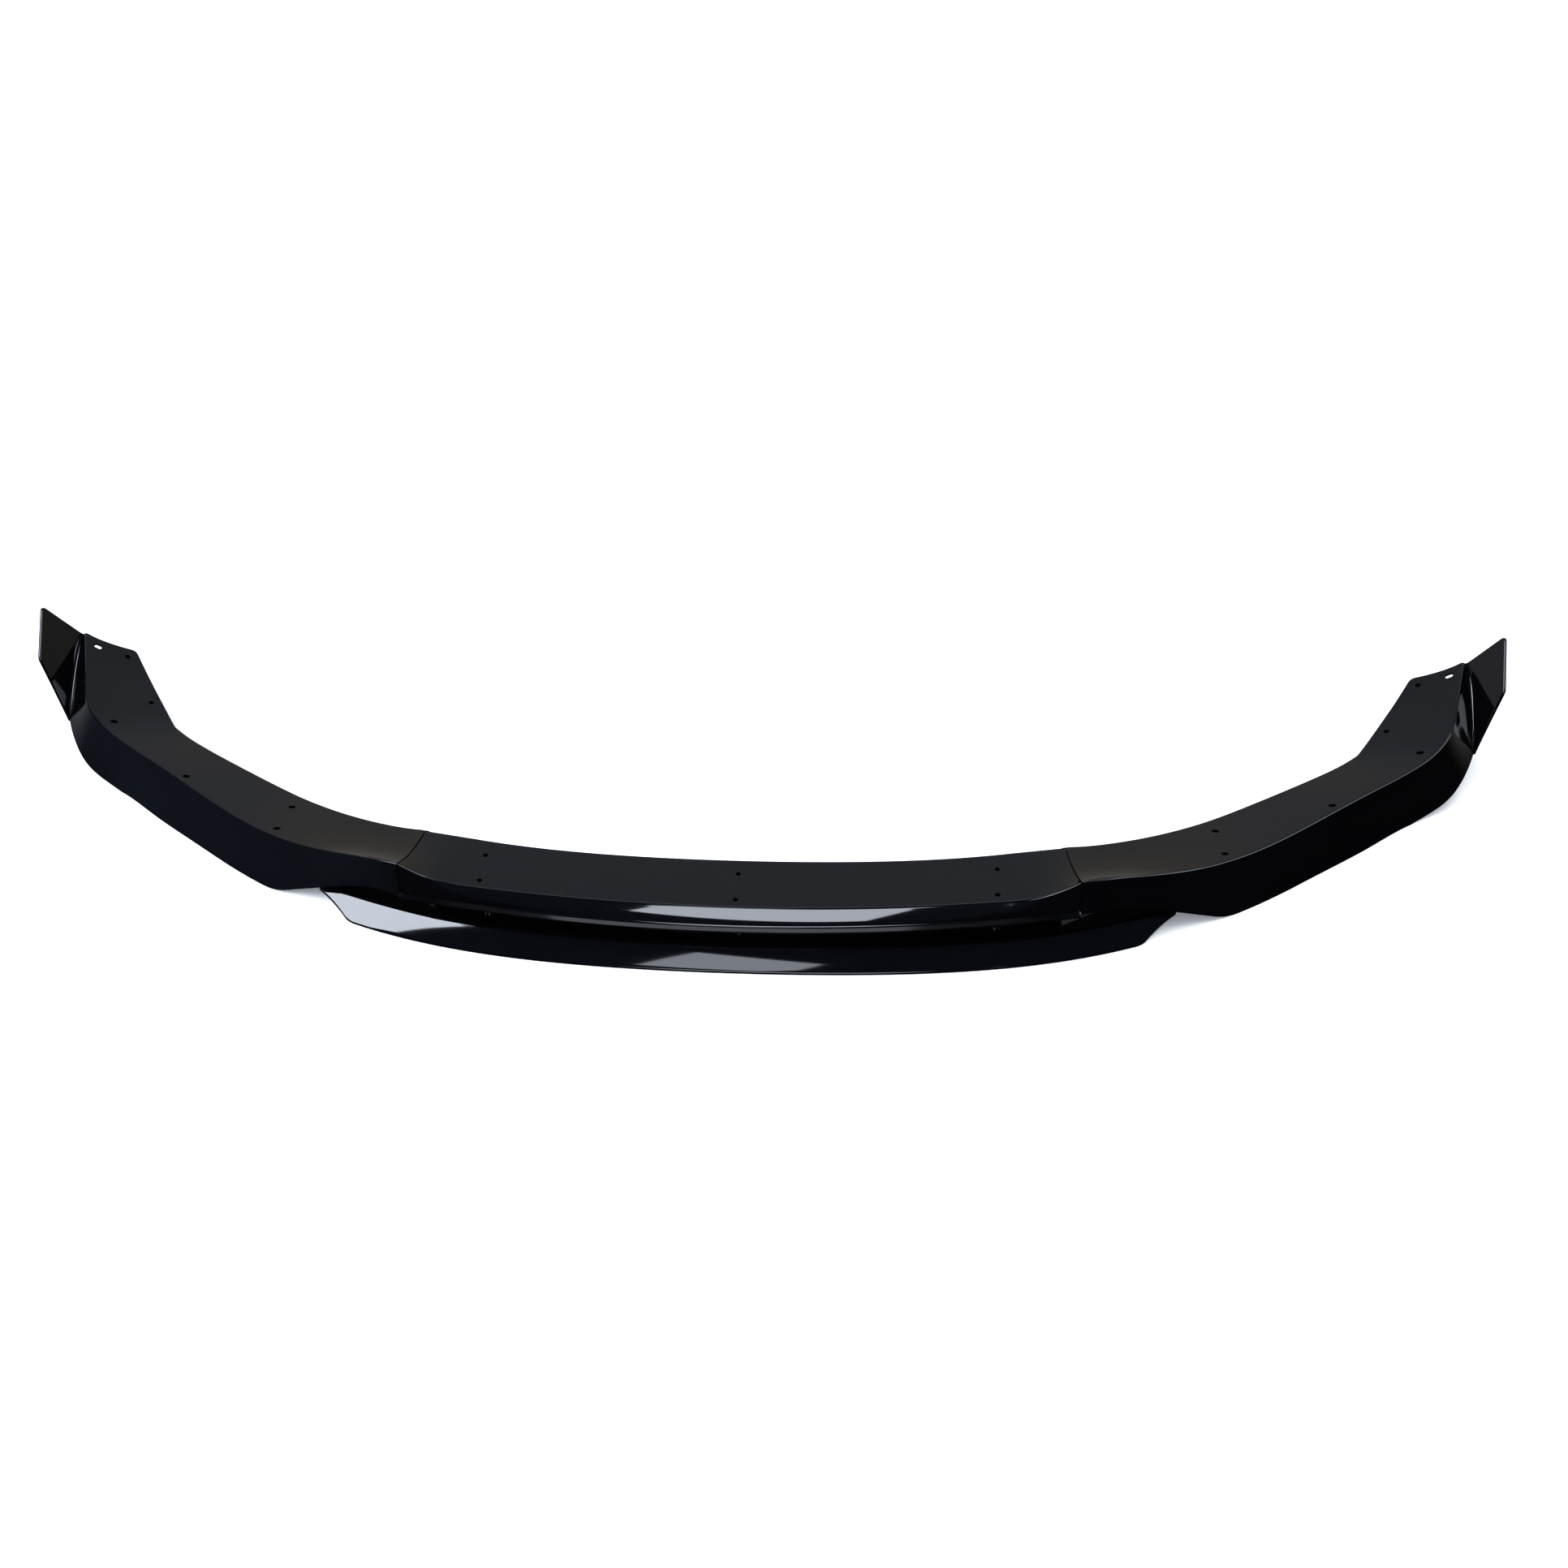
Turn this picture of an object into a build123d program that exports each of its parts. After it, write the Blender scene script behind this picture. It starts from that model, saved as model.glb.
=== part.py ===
from build123d import *
import os
from math import radians, sqrt, tan

# Front bumper lip spoiler in gloss black ABS: a centre lip, two side lips with upturned end fins,
# and a lower blade hung under the centre lip on moulded screw bosses.
# Frame: X to the car's left, Y rearward, Z up. The origin is midway between the two middle screw
# holes, on the top face of the centre flange. Sizes are millimetres.

# Panels
WALL = 3.0                  # moulded wall of every panel
NOSE = 2.2                  # rounding of the crease between flange and front face
FLOOR = -92.0               # level of the side lips' bottom edges and of the blade's nose
TRIM = 9.0                  # moulded surplus behind the back edge, trimmed off

# Centre lip, as curves seen from above: depth in the middle, then sweep at the seam
SEAM_X = 384.0              # crease at the seam between centre lip and side lip
SEAM_TOE = 9.5              # lean of the seam line towards the middle, degrees
CREASE_Y = -33.0
CREASE_SWEEP = (33.5, 0.0)  # rearward sweep by the second and fourth power of the distance
BACK_Y = 43.0
BACK_SWEEP = (27.0, 17.0)
TOE_Y = -47.5
TOE_SWEEP = (39.5, 0.0)
LIP_DROP = 23.0             # bottom of the centre lip below its flange
HUMP_RISE = 21.0            # the crease climbs this much towards each seam
HUMP_RUN = 74.0
HUMP_SAG = 14.0             # hollow of the flange under the hump
HUMP_BACK_FALL = 4.0        # the back edge falls this much towards each seam
HOLLOW_AT = 0.45            # place of the hollow, as a share of the flange's width
LIP_STEPS = 4               # sections along the level middle
HUMP_STEPS = 3              # sections along each hump
BEAD = 3.5                  # ledge along the bottom of the centre lip
BEAD_TALL = 5.0

# Seam joint: an end wall on each panel, bolted face to face below the flange
SEAM_GAP = 1.6              # visible groove between two panels
SEAM_CORNER_R = 4.0         # rounding of the panels' corners at the back of the seam
END_WALL = 3.0
END_WALL_BOTTOM = -20.0
END_WALL_SINK = 0.8         # share of the flange's wall that the end wall runs into
BOLT_R = 2.5
BOLT_HOLE_R = 2.75
BOLT_Y = (27.0, 58.0)
BOLT_Z = -12.0
HEAD_R = 4.6
HEAD_TALL = 3.5
NUT_TALL = 4.0
BOLT_TAIL = 2.0

# Mounting holes, all drilled along the mould's draw direction
HOLE_R = 3.0
SLOT_LONG = 9.0
PAIR_PITCH = 41.6
SIDE_PAIR_X = 292.0
SIDE_PAIR_Y = 19.4

# Side lip: bottom edge of the skirt, seen from the front, measured outward from the seam
ARCH_START = -22.0          # height of the bottom edge at the seam
ARCH_KNEE = (44.0, -26.0)
ARCH_FOOT = 182.0           # outward distance of the bottom corner
ARCH_KNEE_R = 110.0
ARCH_FOOT_R = 26.0

# Side lip: outline from above, measured outward from the seam
WING_OVERRUN = 30.0         # start of the outline, inward of the seam
WING_BACK = [(10, 93.5), (52, 111.5), (116, 147), (196, 197), (276, 245.5)]
WING_CORNER = (351.5, 299.0)
WING_REAR = (427.5, 411.0)
REAR_OUTER = (600.0, 402.0)
CORNER_R = 8.0
REAR_R = 10.0

# Side lip: moulded surface through stations (crease, back, toe, hollow of the flange),
# measured outward from the seam
WING_STATIONS = [
    ((41, 18.5, 12), (25, 110, -14), (53, 1, -96), 13),
    ((86, 44, -5), (44, 121, -18), (100, 21, -96), 8),
    ((146, 75.5, -21), (102, 152, -31), (162, 55, -96), 3),
    ((206, 110, -27), (160, 186, -41), (222, 91, -96), 1),
    ((276, 158.5, -26.5), (228, 230, -43), (292, 141, -96), 0),
    ((346, 210, -23.5), (292, 274, -43), (363, 194, -96), 0),
    ((406, 251, -18.5), (338, 316, -42), (422, 240, -90.5), 0),
    ((442, 282, -12), (359, 340, -35), (462, 265, -76), 1),
    ((461, 309, -3), (378, 363, -28), (486.5, 296.5, -58), 2),
    ((470, 338, 5), (395, 386, -20), (498.5, 326.5, -41), 5),
    ((479, 374, 16), (411, 409, -9), (496.5, 365, -6), 8),
    ((488, 419, 30.5), (425, 432, 1), (498, 415, 26), 11),
]
WING_STEPS = 2              # sections from one station to the next
WING_ROUND_HOLES = [(390, 333.5), (435, 398)]
WING_SLOTS = [(166.6, 153.3), (172.3, 106), (306.4, 195), (421.5, 284.5), (470, 397)]

# End fin: a flat plate that leaves the skirt along its root line
FIN_WALL = 4.2
FIN_SINK = 1.4              # the root is sunk this far into the skirt
FIN_BEVEL = 1.8             # bevel of the plate's rim
FIN_COVE = 6.0              # size of the cove between plate and skirt
FIN_COVE_FROM = 9.5         # station where the cove starts
FIN_COVE_FADE = 4           # sections over which it grows to its full size
FIN_ROOT_LOW = (496.3, 318.8, -47.2)
FIN_ROOT_HIGH = (493.9, 408.8, 30.3)
FIN_TIP = (521.5, 384.0, 85.5)
FIN_OUTER = (541.5, 343.0, 31.0)
FIN_OUTER_R = 12.0
FIN_TIP_R = 4.0

# Lower blade
SHELF = -70.0               # top of the blade's shelf
BLADE_FRONT_Y = -47.0
BLADE_HALF = 461.0          # front corner of the blade, from the middle
BLADE_SWEEP = (34.0, 30.0)  # rearward sweep of the front edge at that corner, as on the lip
BLADE_TIP = (501.0, 54.5)
BLADE_END_BOW = 2.0         # hollow of the slanted end between corner and tip
BLADE_DEEP = 92.0
SLOPE_RUN = 24.0            # front slope, from the nose to the shelf
BLADE_NOSE = 3.0
BLADE_FOOT = 2.0            # flat under the nose

# Bosses under the centre lip that carry the blade
BOSS_R = 5.5
BOSS_FOOT_R = 7.0
BOSS_FOOT_TALL = 2.0
PILOT_R = 2.0
PILOT_DEEP = 22.0
SCREW_CLEAR = 0.75
SCREW_LONG = 18.0
SCREW_HEAD_R = 5.0
SCREW_HEAD_TALL = 3.0
SCREW_HEAD_DRAFT = 1.2

SURPLUS = 4.0               # moulded surplus below the floor level, trimmed off
REACH = 400.0               # reach of the cutting prisms


def swept(y_mid, sweep, share):
    """Depth of a plan curve at a share of its half width from the middle."""
    return y_mid + sweep[0] * share ** 2 + sweep[1] * share ** 4


def crease_y(x):
    return swept(CREASE_Y, CREASE_SWEEP, x / SEAM_X)


def back_y(x):
    return swept(BACK_Y, BACK_SWEEP, x / SEAM_X)


def inner_line(points, depth):
    """Points at a depth inside the panel: toe, corner under the crease, flange hollow and back."""
    crease, back, toe, sag = points
    chord = (back - crease).normalized()
    front = (toe - crease).normalized()
    down = (front - chord * front.dot(chord)).normalized()
    hollow = crease + (back - crease) * HOLLOW_AT + down * sag
    flange = (hollow - crease).normalized()
    below = (front - flange * front.dot(flange)).normalized()
    behind = (flange - front * flange.dot(front)).normalized()
    inset = depth * (1 - below.dot(behind)) / flange.dot(behind)
    corner = crease + flange * inset + below * depth
    return toe + behind * depth, corner, hollow + down * depth, back + down * depth


def panel_section(points):
    """Closed section of a thin panel: flange from back to crease, front face from crease to toe."""
    toe, crease, hollow, back = inner_line(points, 0.0)
    toe_in, corner, hollow_in, back_in = inner_line(points, WALL)
    flange_end = crease + (hollow - crease).normalized() * NOSE
    front_start = crease + (toe - crease).normalized() * NOSE
    return Face(Wire([
        Bezier(back, hollow, flange_end),
        Bezier(flange_end, crease, front_start),
        Line(front_start, toe),
        Line(toe, toe_in),
        Line(toe_in, corner),
        Bezier(corner, hollow_in, back_in),
        Line(back_in, back),
    ]))


def lip_points(x):
    """Crease, back, toe and hollow of the centre lip at a crease position x."""
    lean = tan(radians(SEAM_TOE)) * x / SEAM_X
    climb = max(0.0, (abs(x) - SEAM_X + HUMP_RUN) / HUMP_RUN) ** 2
    y_crease = crease_y(x)

    def at(y, z):
        return Vector(x - lean * (y - y_crease), y, z)

    crease = at(y_crease, HUMP_RISE * climb)
    back = at(back_y(x) + TRIM, -HUMP_BACK_FALL * climb)
    toe = at(swept(TOE_Y, TOE_SWEEP, x / SEAM_X), -LIP_DROP)
    return crease, back, toe, HUMP_SAG * climb


def shifted(points, step):
    """Section points moved along X."""
    move = Vector(step, 0, 0)
    return [point + move for point in points[:3]] + [points[3]]


def upright(outline):
    """Tall prism over a plan outline."""
    return extrude(Pos(0, 0, -REACH) * outline, 2 * REACH)


def seam_plane(side):
    """Plane of a seam: x axis rearward along the seam, y axis up, normal towards +X."""
    along = Vector(-tan(radians(SEAM_TOE)) * side, 1, 0).normalized()
    origin = (side * SEAM_X, crease_y(SEAM_X), 0)
    return Plane(origin=origin, x_dir=along, z_dir=along.cross(Vector(0, 0, 1)))


def seam_bolt_spots(side):
    """Places of a seam's bolts, with their axis along the seam plane's normal."""
    plane = seam_plane(side)
    return [plane * Pos(y - plane.origin.Y, BOLT_Z) for y in BOLT_Y]


def end_wall(side, way):
    """Upright wall under the flange at a seam, on the side of the seam that way (-1 or 1) gives."""
    toe, corner, hollow, back = inner_line(lip_points(side * SEAM_X), END_WALL_SINK * WALL)
    share = (END_WALL_BOTTOM - corner.Z) / (toe.Z - corner.Z)
    front_foot = corner + (toe - corner) * share
    back_foot = Vector(back.X, back.Y, END_WALL_BOTTOM)
    outline = Wire([
        Bezier(corner, hollow, back),
        Line(back, back_foot),
        Line(back_foot, front_foot),
        Line(front_foot, corner),
    ])
    normal = seam_plane(side).z_dir
    wall = extrude(Face(outline), END_WALL, dir=normal * way)
    for spot in seam_bolt_spots(side):
        wall -= spot * Cylinder(BOLT_HOLE_R, 4 * END_WALL)
    return wall


def seam_corner(side, way):
    """Cutter that rounds a panel's back corner at a seam, on the side of the seam that way gives."""
    plane = seam_plane(side)
    ahead = -Vector(plane.x_dir.X, plane.x_dir.Y)
    run = (BACK_Y - CREASE_Y + BACK_SWEEP[0] + BACK_SWEEP[1] - CREASE_SWEEP[0]) / plane.x_dir.Y
    corner = Vector(plane.origin.X, plane.origin.Y) - ahead * run
    slope = (back_y(SEAM_X) - back_y(SEAM_X - SEAM_CORNER_R)) / SEAM_CORNER_R
    aside = Vector(way, way * side * slope).normalized()
    corner = Vector(corner.X, back_y(corner.X))
    arc_mid = corner + (ahead + aside) * SEAM_CORNER_R * (1 - sqrt(0.5))
    on_seam = corner + ahead * SEAM_CORNER_R
    on_back = corner + aside * SEAM_CORNER_R
    far = corner - (ahead + aside) * SEAM_CORNER_R
    return upright(make_face([ThreePointArc(on_seam, arc_mid, on_back), Polyline(on_back, far, on_seam)]))


def lip_spans():
    """Section rows of the centre lip: the level middle and the hump at each end."""
    level = SEAM_X - HUMP_RUN
    middle = [lip_points(level * (2 * k / LIP_STEPS - 1)) for k in range(LIP_STEPS + 1)]
    spans = [middle]
    for side in (-1, 1):
        climb = [lip_points(side * (level + HUMP_RUN * k / HUMP_STEPS)) for k in range(HUMP_STEPS)]
        spans.append(climb + [shifted(lip_points(side * SEAM_X), -side * SEAM_GAP / 2)])
    return spans


def bead_section(points):
    """Section of the ledge that runs along the bottom of the centre lip."""
    crease, back, toe, sag = points
    up = (crease - toe).normalized()
    ahead = Vector(toe.X - back.X, toe.Y - back.Y, 0).normalized()
    root = toe + up * BEAD_TALL - ahead * WALL / 2
    edge = toe + ahead * BEAD
    heel = toe - ahead * WALL / 2
    return Face(Wire([
        Line(root, edge + Vector(0, 0, BEAD_TALL / 2)),
        Line(edge + Vector(0, 0, BEAD_TALL / 2), edge),
        Line(edge, heel),
        Line(heel, root),
    ]))


def lip_back_outline():
    """Plan of the centre lip up to its back edge."""
    edge = [(SEAM_X * share, back_y(SEAM_X * share)) for share in (-1.1, -0.7, -0.35, 0, 0.35, 0.7, 1.1)]
    front = Polyline(edge[-1], (edge[-1][0], -REACH), (edge[0][0], -REACH), edge[0])
    return make_face([Spline(edge), front])


def boss_spots():
    """Plan places of the bosses: midway between the two holes of each pair."""
    return [(-SIDE_PAIR_X, SIDE_PAIR_Y), (0.0, 0.0), (SIDE_PAIR_X, SIDE_PAIR_Y)]


def boss():
    """Screw boss from the blade's shelf up into the flange, with a pilot hole from below."""
    tall = -SHELF - WALL / 2
    low = (Align.CENTER, Align.CENTER, Align.MIN)
    body = Cylinder(BOSS_R, tall, align=low)
    body += Cylinder(BOSS_FOOT_R, BOSS_FOOT_TALL, align=low)
    body -= Cylinder(PILOT_R, PILOT_DEEP, align=low)
    return Pos(0, 0, SHELF) * body


def hole_tool(x, y, long=0.0):
    """Upright cutter for a round hole, or for a slot of the given length along X."""
    outline = SlotOverall(long, 2 * HOLE_R) if long else Circle(HOLE_R)
    return upright(Pos(x, y) * outline)


def centre_lip():
    lip = Part()
    for span in lip_spans():
        lip += loft([panel_section(points) for points in span])
        lip += loft([bead_section(points) for points in span])
    for side in (-1, 1):
        lip += end_wall(side, -side)
    lip &= upright(lip_back_outline())
    for side in (-1, 1):
        lip -= seam_corner(side, -side)
    for x, y in boss_spots():
        lip += Pos(x, y) * boss()
        for step in (-PAIR_PITCH / 2, PAIR_PITCH / 2):
            lip -= hole_tool(x, y + step)
    return lip


def outward(point):
    """A side-lip point, given outward from the seam, in the part's frame on the +X side."""
    return Vector(SEAM_X + point[0], *point[1:])


class Guide:
    """Smooth curve through a row of station points, read at a station number or between two."""

    def __init__(self, points):
        steps = [0.0] + [(b - a).length for a, b in zip(points, points[1:])]
        self.marks = [sum(steps[:k + 1]) / sum(steps) for k in range(len(steps))]
        self.curve = Spline(points)

    def at(self, place):
        k = min(int(place), len(self.marks) - 2)
        mark = self.marks[k] + (place - k) * (self.marks[k + 1] - self.marks[k])
        return self.curve.position_at(mark, position_mode=PositionMode.PARAMETER)


def wing_sections():
    crease, back, toe, sag = lip_points(SEAM_X)
    low_toe = crease + (toe - crease) * ((FLOOR - SURPLUS - crease.Z) / (toe.Z - crease.Z))
    stations = [shifted((crease, back, low_toe, sag), SEAM_GAP / 2)]
    stations += [[outward(p) for p in points] + [hollow] for *points, hollow in WING_STATIONS]
    guides = [Guide([station[k] for station in stations]) for k in range(3)]
    hollows = Guide([Vector(k * WING_CORNER[0], station[3], 0) for k, station in enumerate(stations)])
    places = [k / WING_STEPS for k in range(WING_STEPS * (len(stations) - 1) + 1)]
    return [[guide.at(place) for guide in guides] + [hollows.at(place).Y] for place in places]


def wing_outline():
    """Plan of the side lip up to its back and rear edges."""
    inner = (SEAM_X - WING_OVERRUN, back_y(SEAM_X - WING_OVERRUN))
    corner = outward(WING_CORNER)
    back = Spline([inner] + [outward(point) for point in WING_BACK] + [corner])
    rest = Polyline(corner, outward(WING_REAR), outward(REAR_OUTER),
                    (SEAM_X + 2 * REACH, -REACH), (inner[0], -REACH), inner)
    face = make_face([back, rest])
    for point, radius in ((WING_CORNER, CORNER_R), (WING_REAR, REAR_R)):
        face = fillet(face.vertices().sort_by_distance(outward(point))[0], radius)
    return face


def skirt_cutter():
    """Prism below the skirt's bottom edge: the arch beside the blade, the foot and the floor level."""
    knee = (SEAM_X + ARCH_KNEE[0], ARCH_KNEE[1])
    foot = (SEAM_X + ARCH_FOOT, FLOOR)
    start = SEAM_X - REACH / 4
    outline = make_face(Polyline((start, ARCH_START), (SEAM_X, ARCH_START), knee, foot,
                                 (SEAM_X + 2 * REACH, FLOOR), (SEAM_X + 2 * REACH, FLOOR - REACH),
                                 (start, FLOOR - REACH), close=True))
    for point, radius in ((knee, ARCH_KNEE_R), (foot, ARCH_FOOT_R)):
        outline = fillet(outline.vertices().sort_by_distance(point)[0], radius)
    return extrude(Plane.XZ * outline, REACH, both=True)


def fin_plane():
    """Inner face of the fin: x axis from the high end of the root to the low end, y axis to the tip."""
    low, high, tip = [outward(p) for p in (FIN_ROOT_LOW, FIN_ROOT_HIGH, FIN_TIP)]
    normal = (low - high).cross(tip - high).normalized()
    return Plane(origin=high + normal * FIN_SINK, x_dir=low - high, z_dir=normal)


def end_fin():
    """Flat upturned fin at the end of the skirt, with a bevelled rim."""
    plane = fin_plane()
    low, tip, outer = [plane.to_local_coords(outward(p)) for p in (FIN_ROOT_LOW, FIN_TIP, FIN_OUTER)]
    outline = make_face(Polyline((0, -FIN_SINK), (low.X, -FIN_SINK), (outer.X, outer.Y),
                                 (tip.X, tip.Y), close=True))
    for point, radius in ((outer, FIN_OUTER_R), (tip, FIN_TIP_R)):
        spot = Vector(point.X, point.Y, 0)
        outline = fillet(outline.vertices().sort_by_distance(spot)[0], radius)
    plate = extrude(plane * outline, -FIN_WALL)
    rims = [edge for face in plate.faces().filter_by(plane) for edge in face.edges()]
    rims = [edge for edge in rims if plane.to_local_coords(edge.center()).Y > 0]
    return chamfer(rims, FIN_BEVEL)


def cove_section(points, size):
    """Section of the cove where the skirt of a wing section meets the fin's inner face."""
    crease, back, toe, sag = points
    plane = fin_plane()
    skirt = (crease - toe).normalized()
    reach = (plane.origin - toe).dot(plane.z_dir) / skirt.dot(plane.z_dir)
    foot = toe + skirt * min(reach, (crease - toe).length - size)
    heel = foot - (skirt + plane.y_dir).normalized() * FIN_SINK
    on_skirt = foot + skirt * size
    on_fin = foot + plane.y_dir * size
    return Face(Wire([Bezier(on_skirt, foot, on_fin), Line(on_fin, heel), Line(heel, on_skirt)]))


def fin_cove(sections):
    start = int(FIN_COVE_FROM * WING_STEPS)
    sizes = [FIN_COVE * min(1.0, (k + 1) / FIN_COVE_FADE) for k in range(len(sections) - start)]
    return loft([cove_section(points, size) for points, size in zip(sections[start:], sizes)])


def side_lip():
    """The side lip on the +X side."""
    sections = wing_sections()
    wing = loft([panel_section(points) for points in sections])
    wing += end_wall(1, 1)
    wing += fin_cove(sections)
    wing &= upright(wing_outline())
    wing -= skirt_cutter()
    wing -= seam_corner(1, 1)
    wing += end_fin()
    for point in WING_ROUND_HOLES:
        wing -= hole_tool(SEAM_X + point[0], point[1])
    for point in WING_SLOTS:
        wing -= hole_tool(SEAM_X + point[0], point[1], SLOT_LONG)
    return wing


def blade_front(x):
    """Depth of the blade's front edge at a distance x from the middle."""
    return swept(BLADE_FRONT_Y, BLADE_SWEEP, x / BLADE_HALF)


def blade_section(x):
    front = blade_front(x)
    nose_top = Vector(x, front, FLOOR + BLADE_NOSE)
    crease = Vector(x, front + SLOPE_RUN, SHELF)
    back = Vector(x, front + BLADE_DEEP, SHELF)
    slope = (crease - nose_top).normalized()
    drop = Vector(0, 0, -WALL)
    foot = Vector(x, front, FLOOR)
    heel = foot + Vector(0, BLADE_FOOT, 0)
    inner = heel + slope * ((SHELF - WALL - FLOOR) / slope.Z)
    slope_end = crease - slope * NOSE
    shelf_start = crease + Vector(0, NOSE, 0)
    return Face(Wire([
        Line(foot, nose_top),
        Line(nose_top, slope_end),
        Bezier(slope_end, crease, shelf_start),
        Line(shelf_start, back),
        Line(back, back + drop),
        Line(back + drop, inner),
        Line(inner, heel),
        Line(heel, foot),
    ]))


def blade_outline():
    """Plan of the blade's ends: a slightly hollow slant from the front corner to the tip on each side."""
    corner = Vector(BLADE_HALF, blade_front(BLADE_HALF))
    tip = Vector(*BLADE_TIP)
    run = (tip - corner).normalized()
    middle = (corner + tip) / 2 + Vector(-run.Y, run.X) * BLADE_END_BOW
    ahead = corner - run * BLADE_DEEP
    rest = Polyline(tip, (tip.X, REACH), (0, REACH), (0, -REACH), (ahead.X, -REACH), ahead, corner)
    half = make_face([ThreePointArc(corner, middle, tip), rest])
    return half + mirror(half, about=Plane.YZ)


def lower_blade():
    reach = BLADE_TIP[0] + SURPLUS
    places = [reach * share for share in (-1, -0.8, -0.55, -0.28, 0, 0.28, 0.55, 0.8, 1)]
    blade = loft([blade_section(x) for x in places])
    blade &= upright(blade_outline())
    for x, y in boss_spots():
        blade -= Pos(x, y, SHELF) * Cylinder(PILOT_R + SCREW_CLEAR, 4 * WALL)
    return blade


def hexagon(tall, hole=0.0):
    body = extrude(RegularPolygon(HEAD_R, 6), tall)
    return body - Cylinder(hole, 4 * tall) if hole else body


def seam_bolts():
    """Hexagon bolts through both end walls of each seam, heads on the side lip."""
    long = 2 * END_WALL + NUT_TALL + BOLT_TAIL
    bolts = []
    for side in (-1, 1):
        turn = Rot(0, 0, 0) if side > 0 else Rot(0, 180, 0)
        for spot in seam_bolt_spots(side):
            shank = Pos(0, 0, END_WALL - long / 2) * Cylinder(BOLT_R, long)
            bolts.append(spot * turn * (Pos(0, 0, END_WALL) * hexagon(HEAD_TALL) + shank))
    return bolts


def seam_nuts():
    nuts = []
    for side in (-1, 1):
        turn = Rot(0, 0, 0) if side > 0 else Rot(0, 180, 0)
        for spot in seam_bolt_spots(side):
            nuts.append(spot * turn * Pos(0, 0, -END_WALL - NUT_TALL) * hexagon(NUT_TALL, BOLT_R))
    return nuts


def blade_screws():
    """Pan-head screws from below, through the blade into the bosses."""
    low = (Align.CENTER, Align.CENTER, Align.MIN)
    screws = []
    for x, y in boss_spots():
        head = Cone(SCREW_HEAD_R - SCREW_HEAD_DRAFT, SCREW_HEAD_R, SCREW_HEAD_TALL, align=low)
        shank = Cylinder(PILOT_R, SCREW_HEAD_TALL + SCREW_LONG, align=low)
        screws.append(Pos(x, y, SHELF - WALL - SCREW_HEAD_TALL) * (head + shank))
    return screws


left = side_lip()
nodes = {
    "centre_lip": centre_lip(),
    "side_lip_left": left,
    "side_lip_right": mirror(left, about=Plane.YZ),
    "lower_blade": lower_blade(),
    "seam_bolts": Compound(seam_bolts()),
    "seam_nuts": Compound(seam_nuts()),
    "blade_screws": Compound(blade_screws()),
}
os.makedirs("parts", exist_ok=True)
for name, shape in nodes.items():
    export_step(shape, f"parts/{name}.step")
    print(name, len(shape.solids()), round(shape.volume))
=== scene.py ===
# %% [markdown]
# Front lip spoiler in gloss black ABS: a centre lip, two side lips with upturned fins and a lower
# blade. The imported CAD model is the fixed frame: it gives the sizes, and the steel fasteners are
# shown as they come from it. The four moulded panels are drawn again here as dense quad meshes,
# because a mirror-like finish shows every long triangle of a coarse mesh.

# %% Load the frame
import math

import bmesh
import bpy
import numpy as np
from mathutils import Matrix, Quaternion, Vector


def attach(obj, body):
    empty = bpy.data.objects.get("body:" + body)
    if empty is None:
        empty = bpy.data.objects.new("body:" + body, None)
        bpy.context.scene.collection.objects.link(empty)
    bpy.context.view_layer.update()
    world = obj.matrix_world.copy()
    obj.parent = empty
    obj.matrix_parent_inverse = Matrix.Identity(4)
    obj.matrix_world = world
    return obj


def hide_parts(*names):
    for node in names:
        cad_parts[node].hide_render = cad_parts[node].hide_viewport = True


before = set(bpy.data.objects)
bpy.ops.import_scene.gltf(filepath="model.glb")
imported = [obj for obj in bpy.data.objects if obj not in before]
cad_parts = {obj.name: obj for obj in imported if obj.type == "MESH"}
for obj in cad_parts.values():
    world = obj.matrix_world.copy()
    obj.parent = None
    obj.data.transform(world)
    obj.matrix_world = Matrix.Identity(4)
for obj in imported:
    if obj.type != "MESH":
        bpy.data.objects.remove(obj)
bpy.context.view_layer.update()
scene = bpy.context.scene
scene.view_settings.view_transform = "Standard"

# %% [markdown]
# The camera stands in front of the spoiler, a little to its left side, and looks down at about 41
# degrees. Its axes were worked out from the photograph: three unit vectors and a place are all that
# a camera's matrix needs. The lens is long enough to keep the wide part free of distortion.

# %% Camera
CAMERA_PLACE = (0.18924, -1.70273, 1.64390)
CAMERA_RIGHT = (0.997957, 0.060770, -0.019696)
CAMERA_UP = (-0.025133, 0.656956, 0.753510)
CAMERA_BACK = (0.058730, -0.751476, 0.657141)
LENS_MM = 48.447
SENSOR_MM = 36.0

camera_data = bpy.data.cameras.new("camera")
camera_data.lens = LENS_MM
camera_data.sensor_width = SENSOR_MM
camera_data.sensor_fit = "HORIZONTAL"
camera = bpy.data.objects.new("camera", camera_data)
axes = Matrix((CAMERA_RIGHT, CAMERA_UP, CAMERA_BACK)).transposed().to_4x4()
camera.matrix_world = Matrix.Translation(CAMERA_PLACE) @ axes
scene.collection.objects.link(camera)
scene.camera = camera
print("camera at", CAMERA_PLACE)

# %% [markdown]
# Every panel is a skin between two faces, three millimetres apart. A panel is drawn as rows of
# sections: each section is a closed loop that runs along the outer face, round one edge, back along
# the inner face and round the other edge. The loops are numpy arrays of shape (stations, points, 3),
# in millimetres, so one line of code works on a whole panel.

# %% Curves and loops
MM = 0.001
WALL = 3.0
EDGE_R = 0.7          # rounding of the trimmed edges
EDGE_STEPS = 3


def unit(v):
    return v / np.linalg.norm(v, axis=-1, keepdims=True)


def dot(a, b):
    return np.sum(a * b, axis=-1, keepdims=True)


def steps(count, first=0.0, last=1.0):
    return np.linspace(first, last, count)


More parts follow.
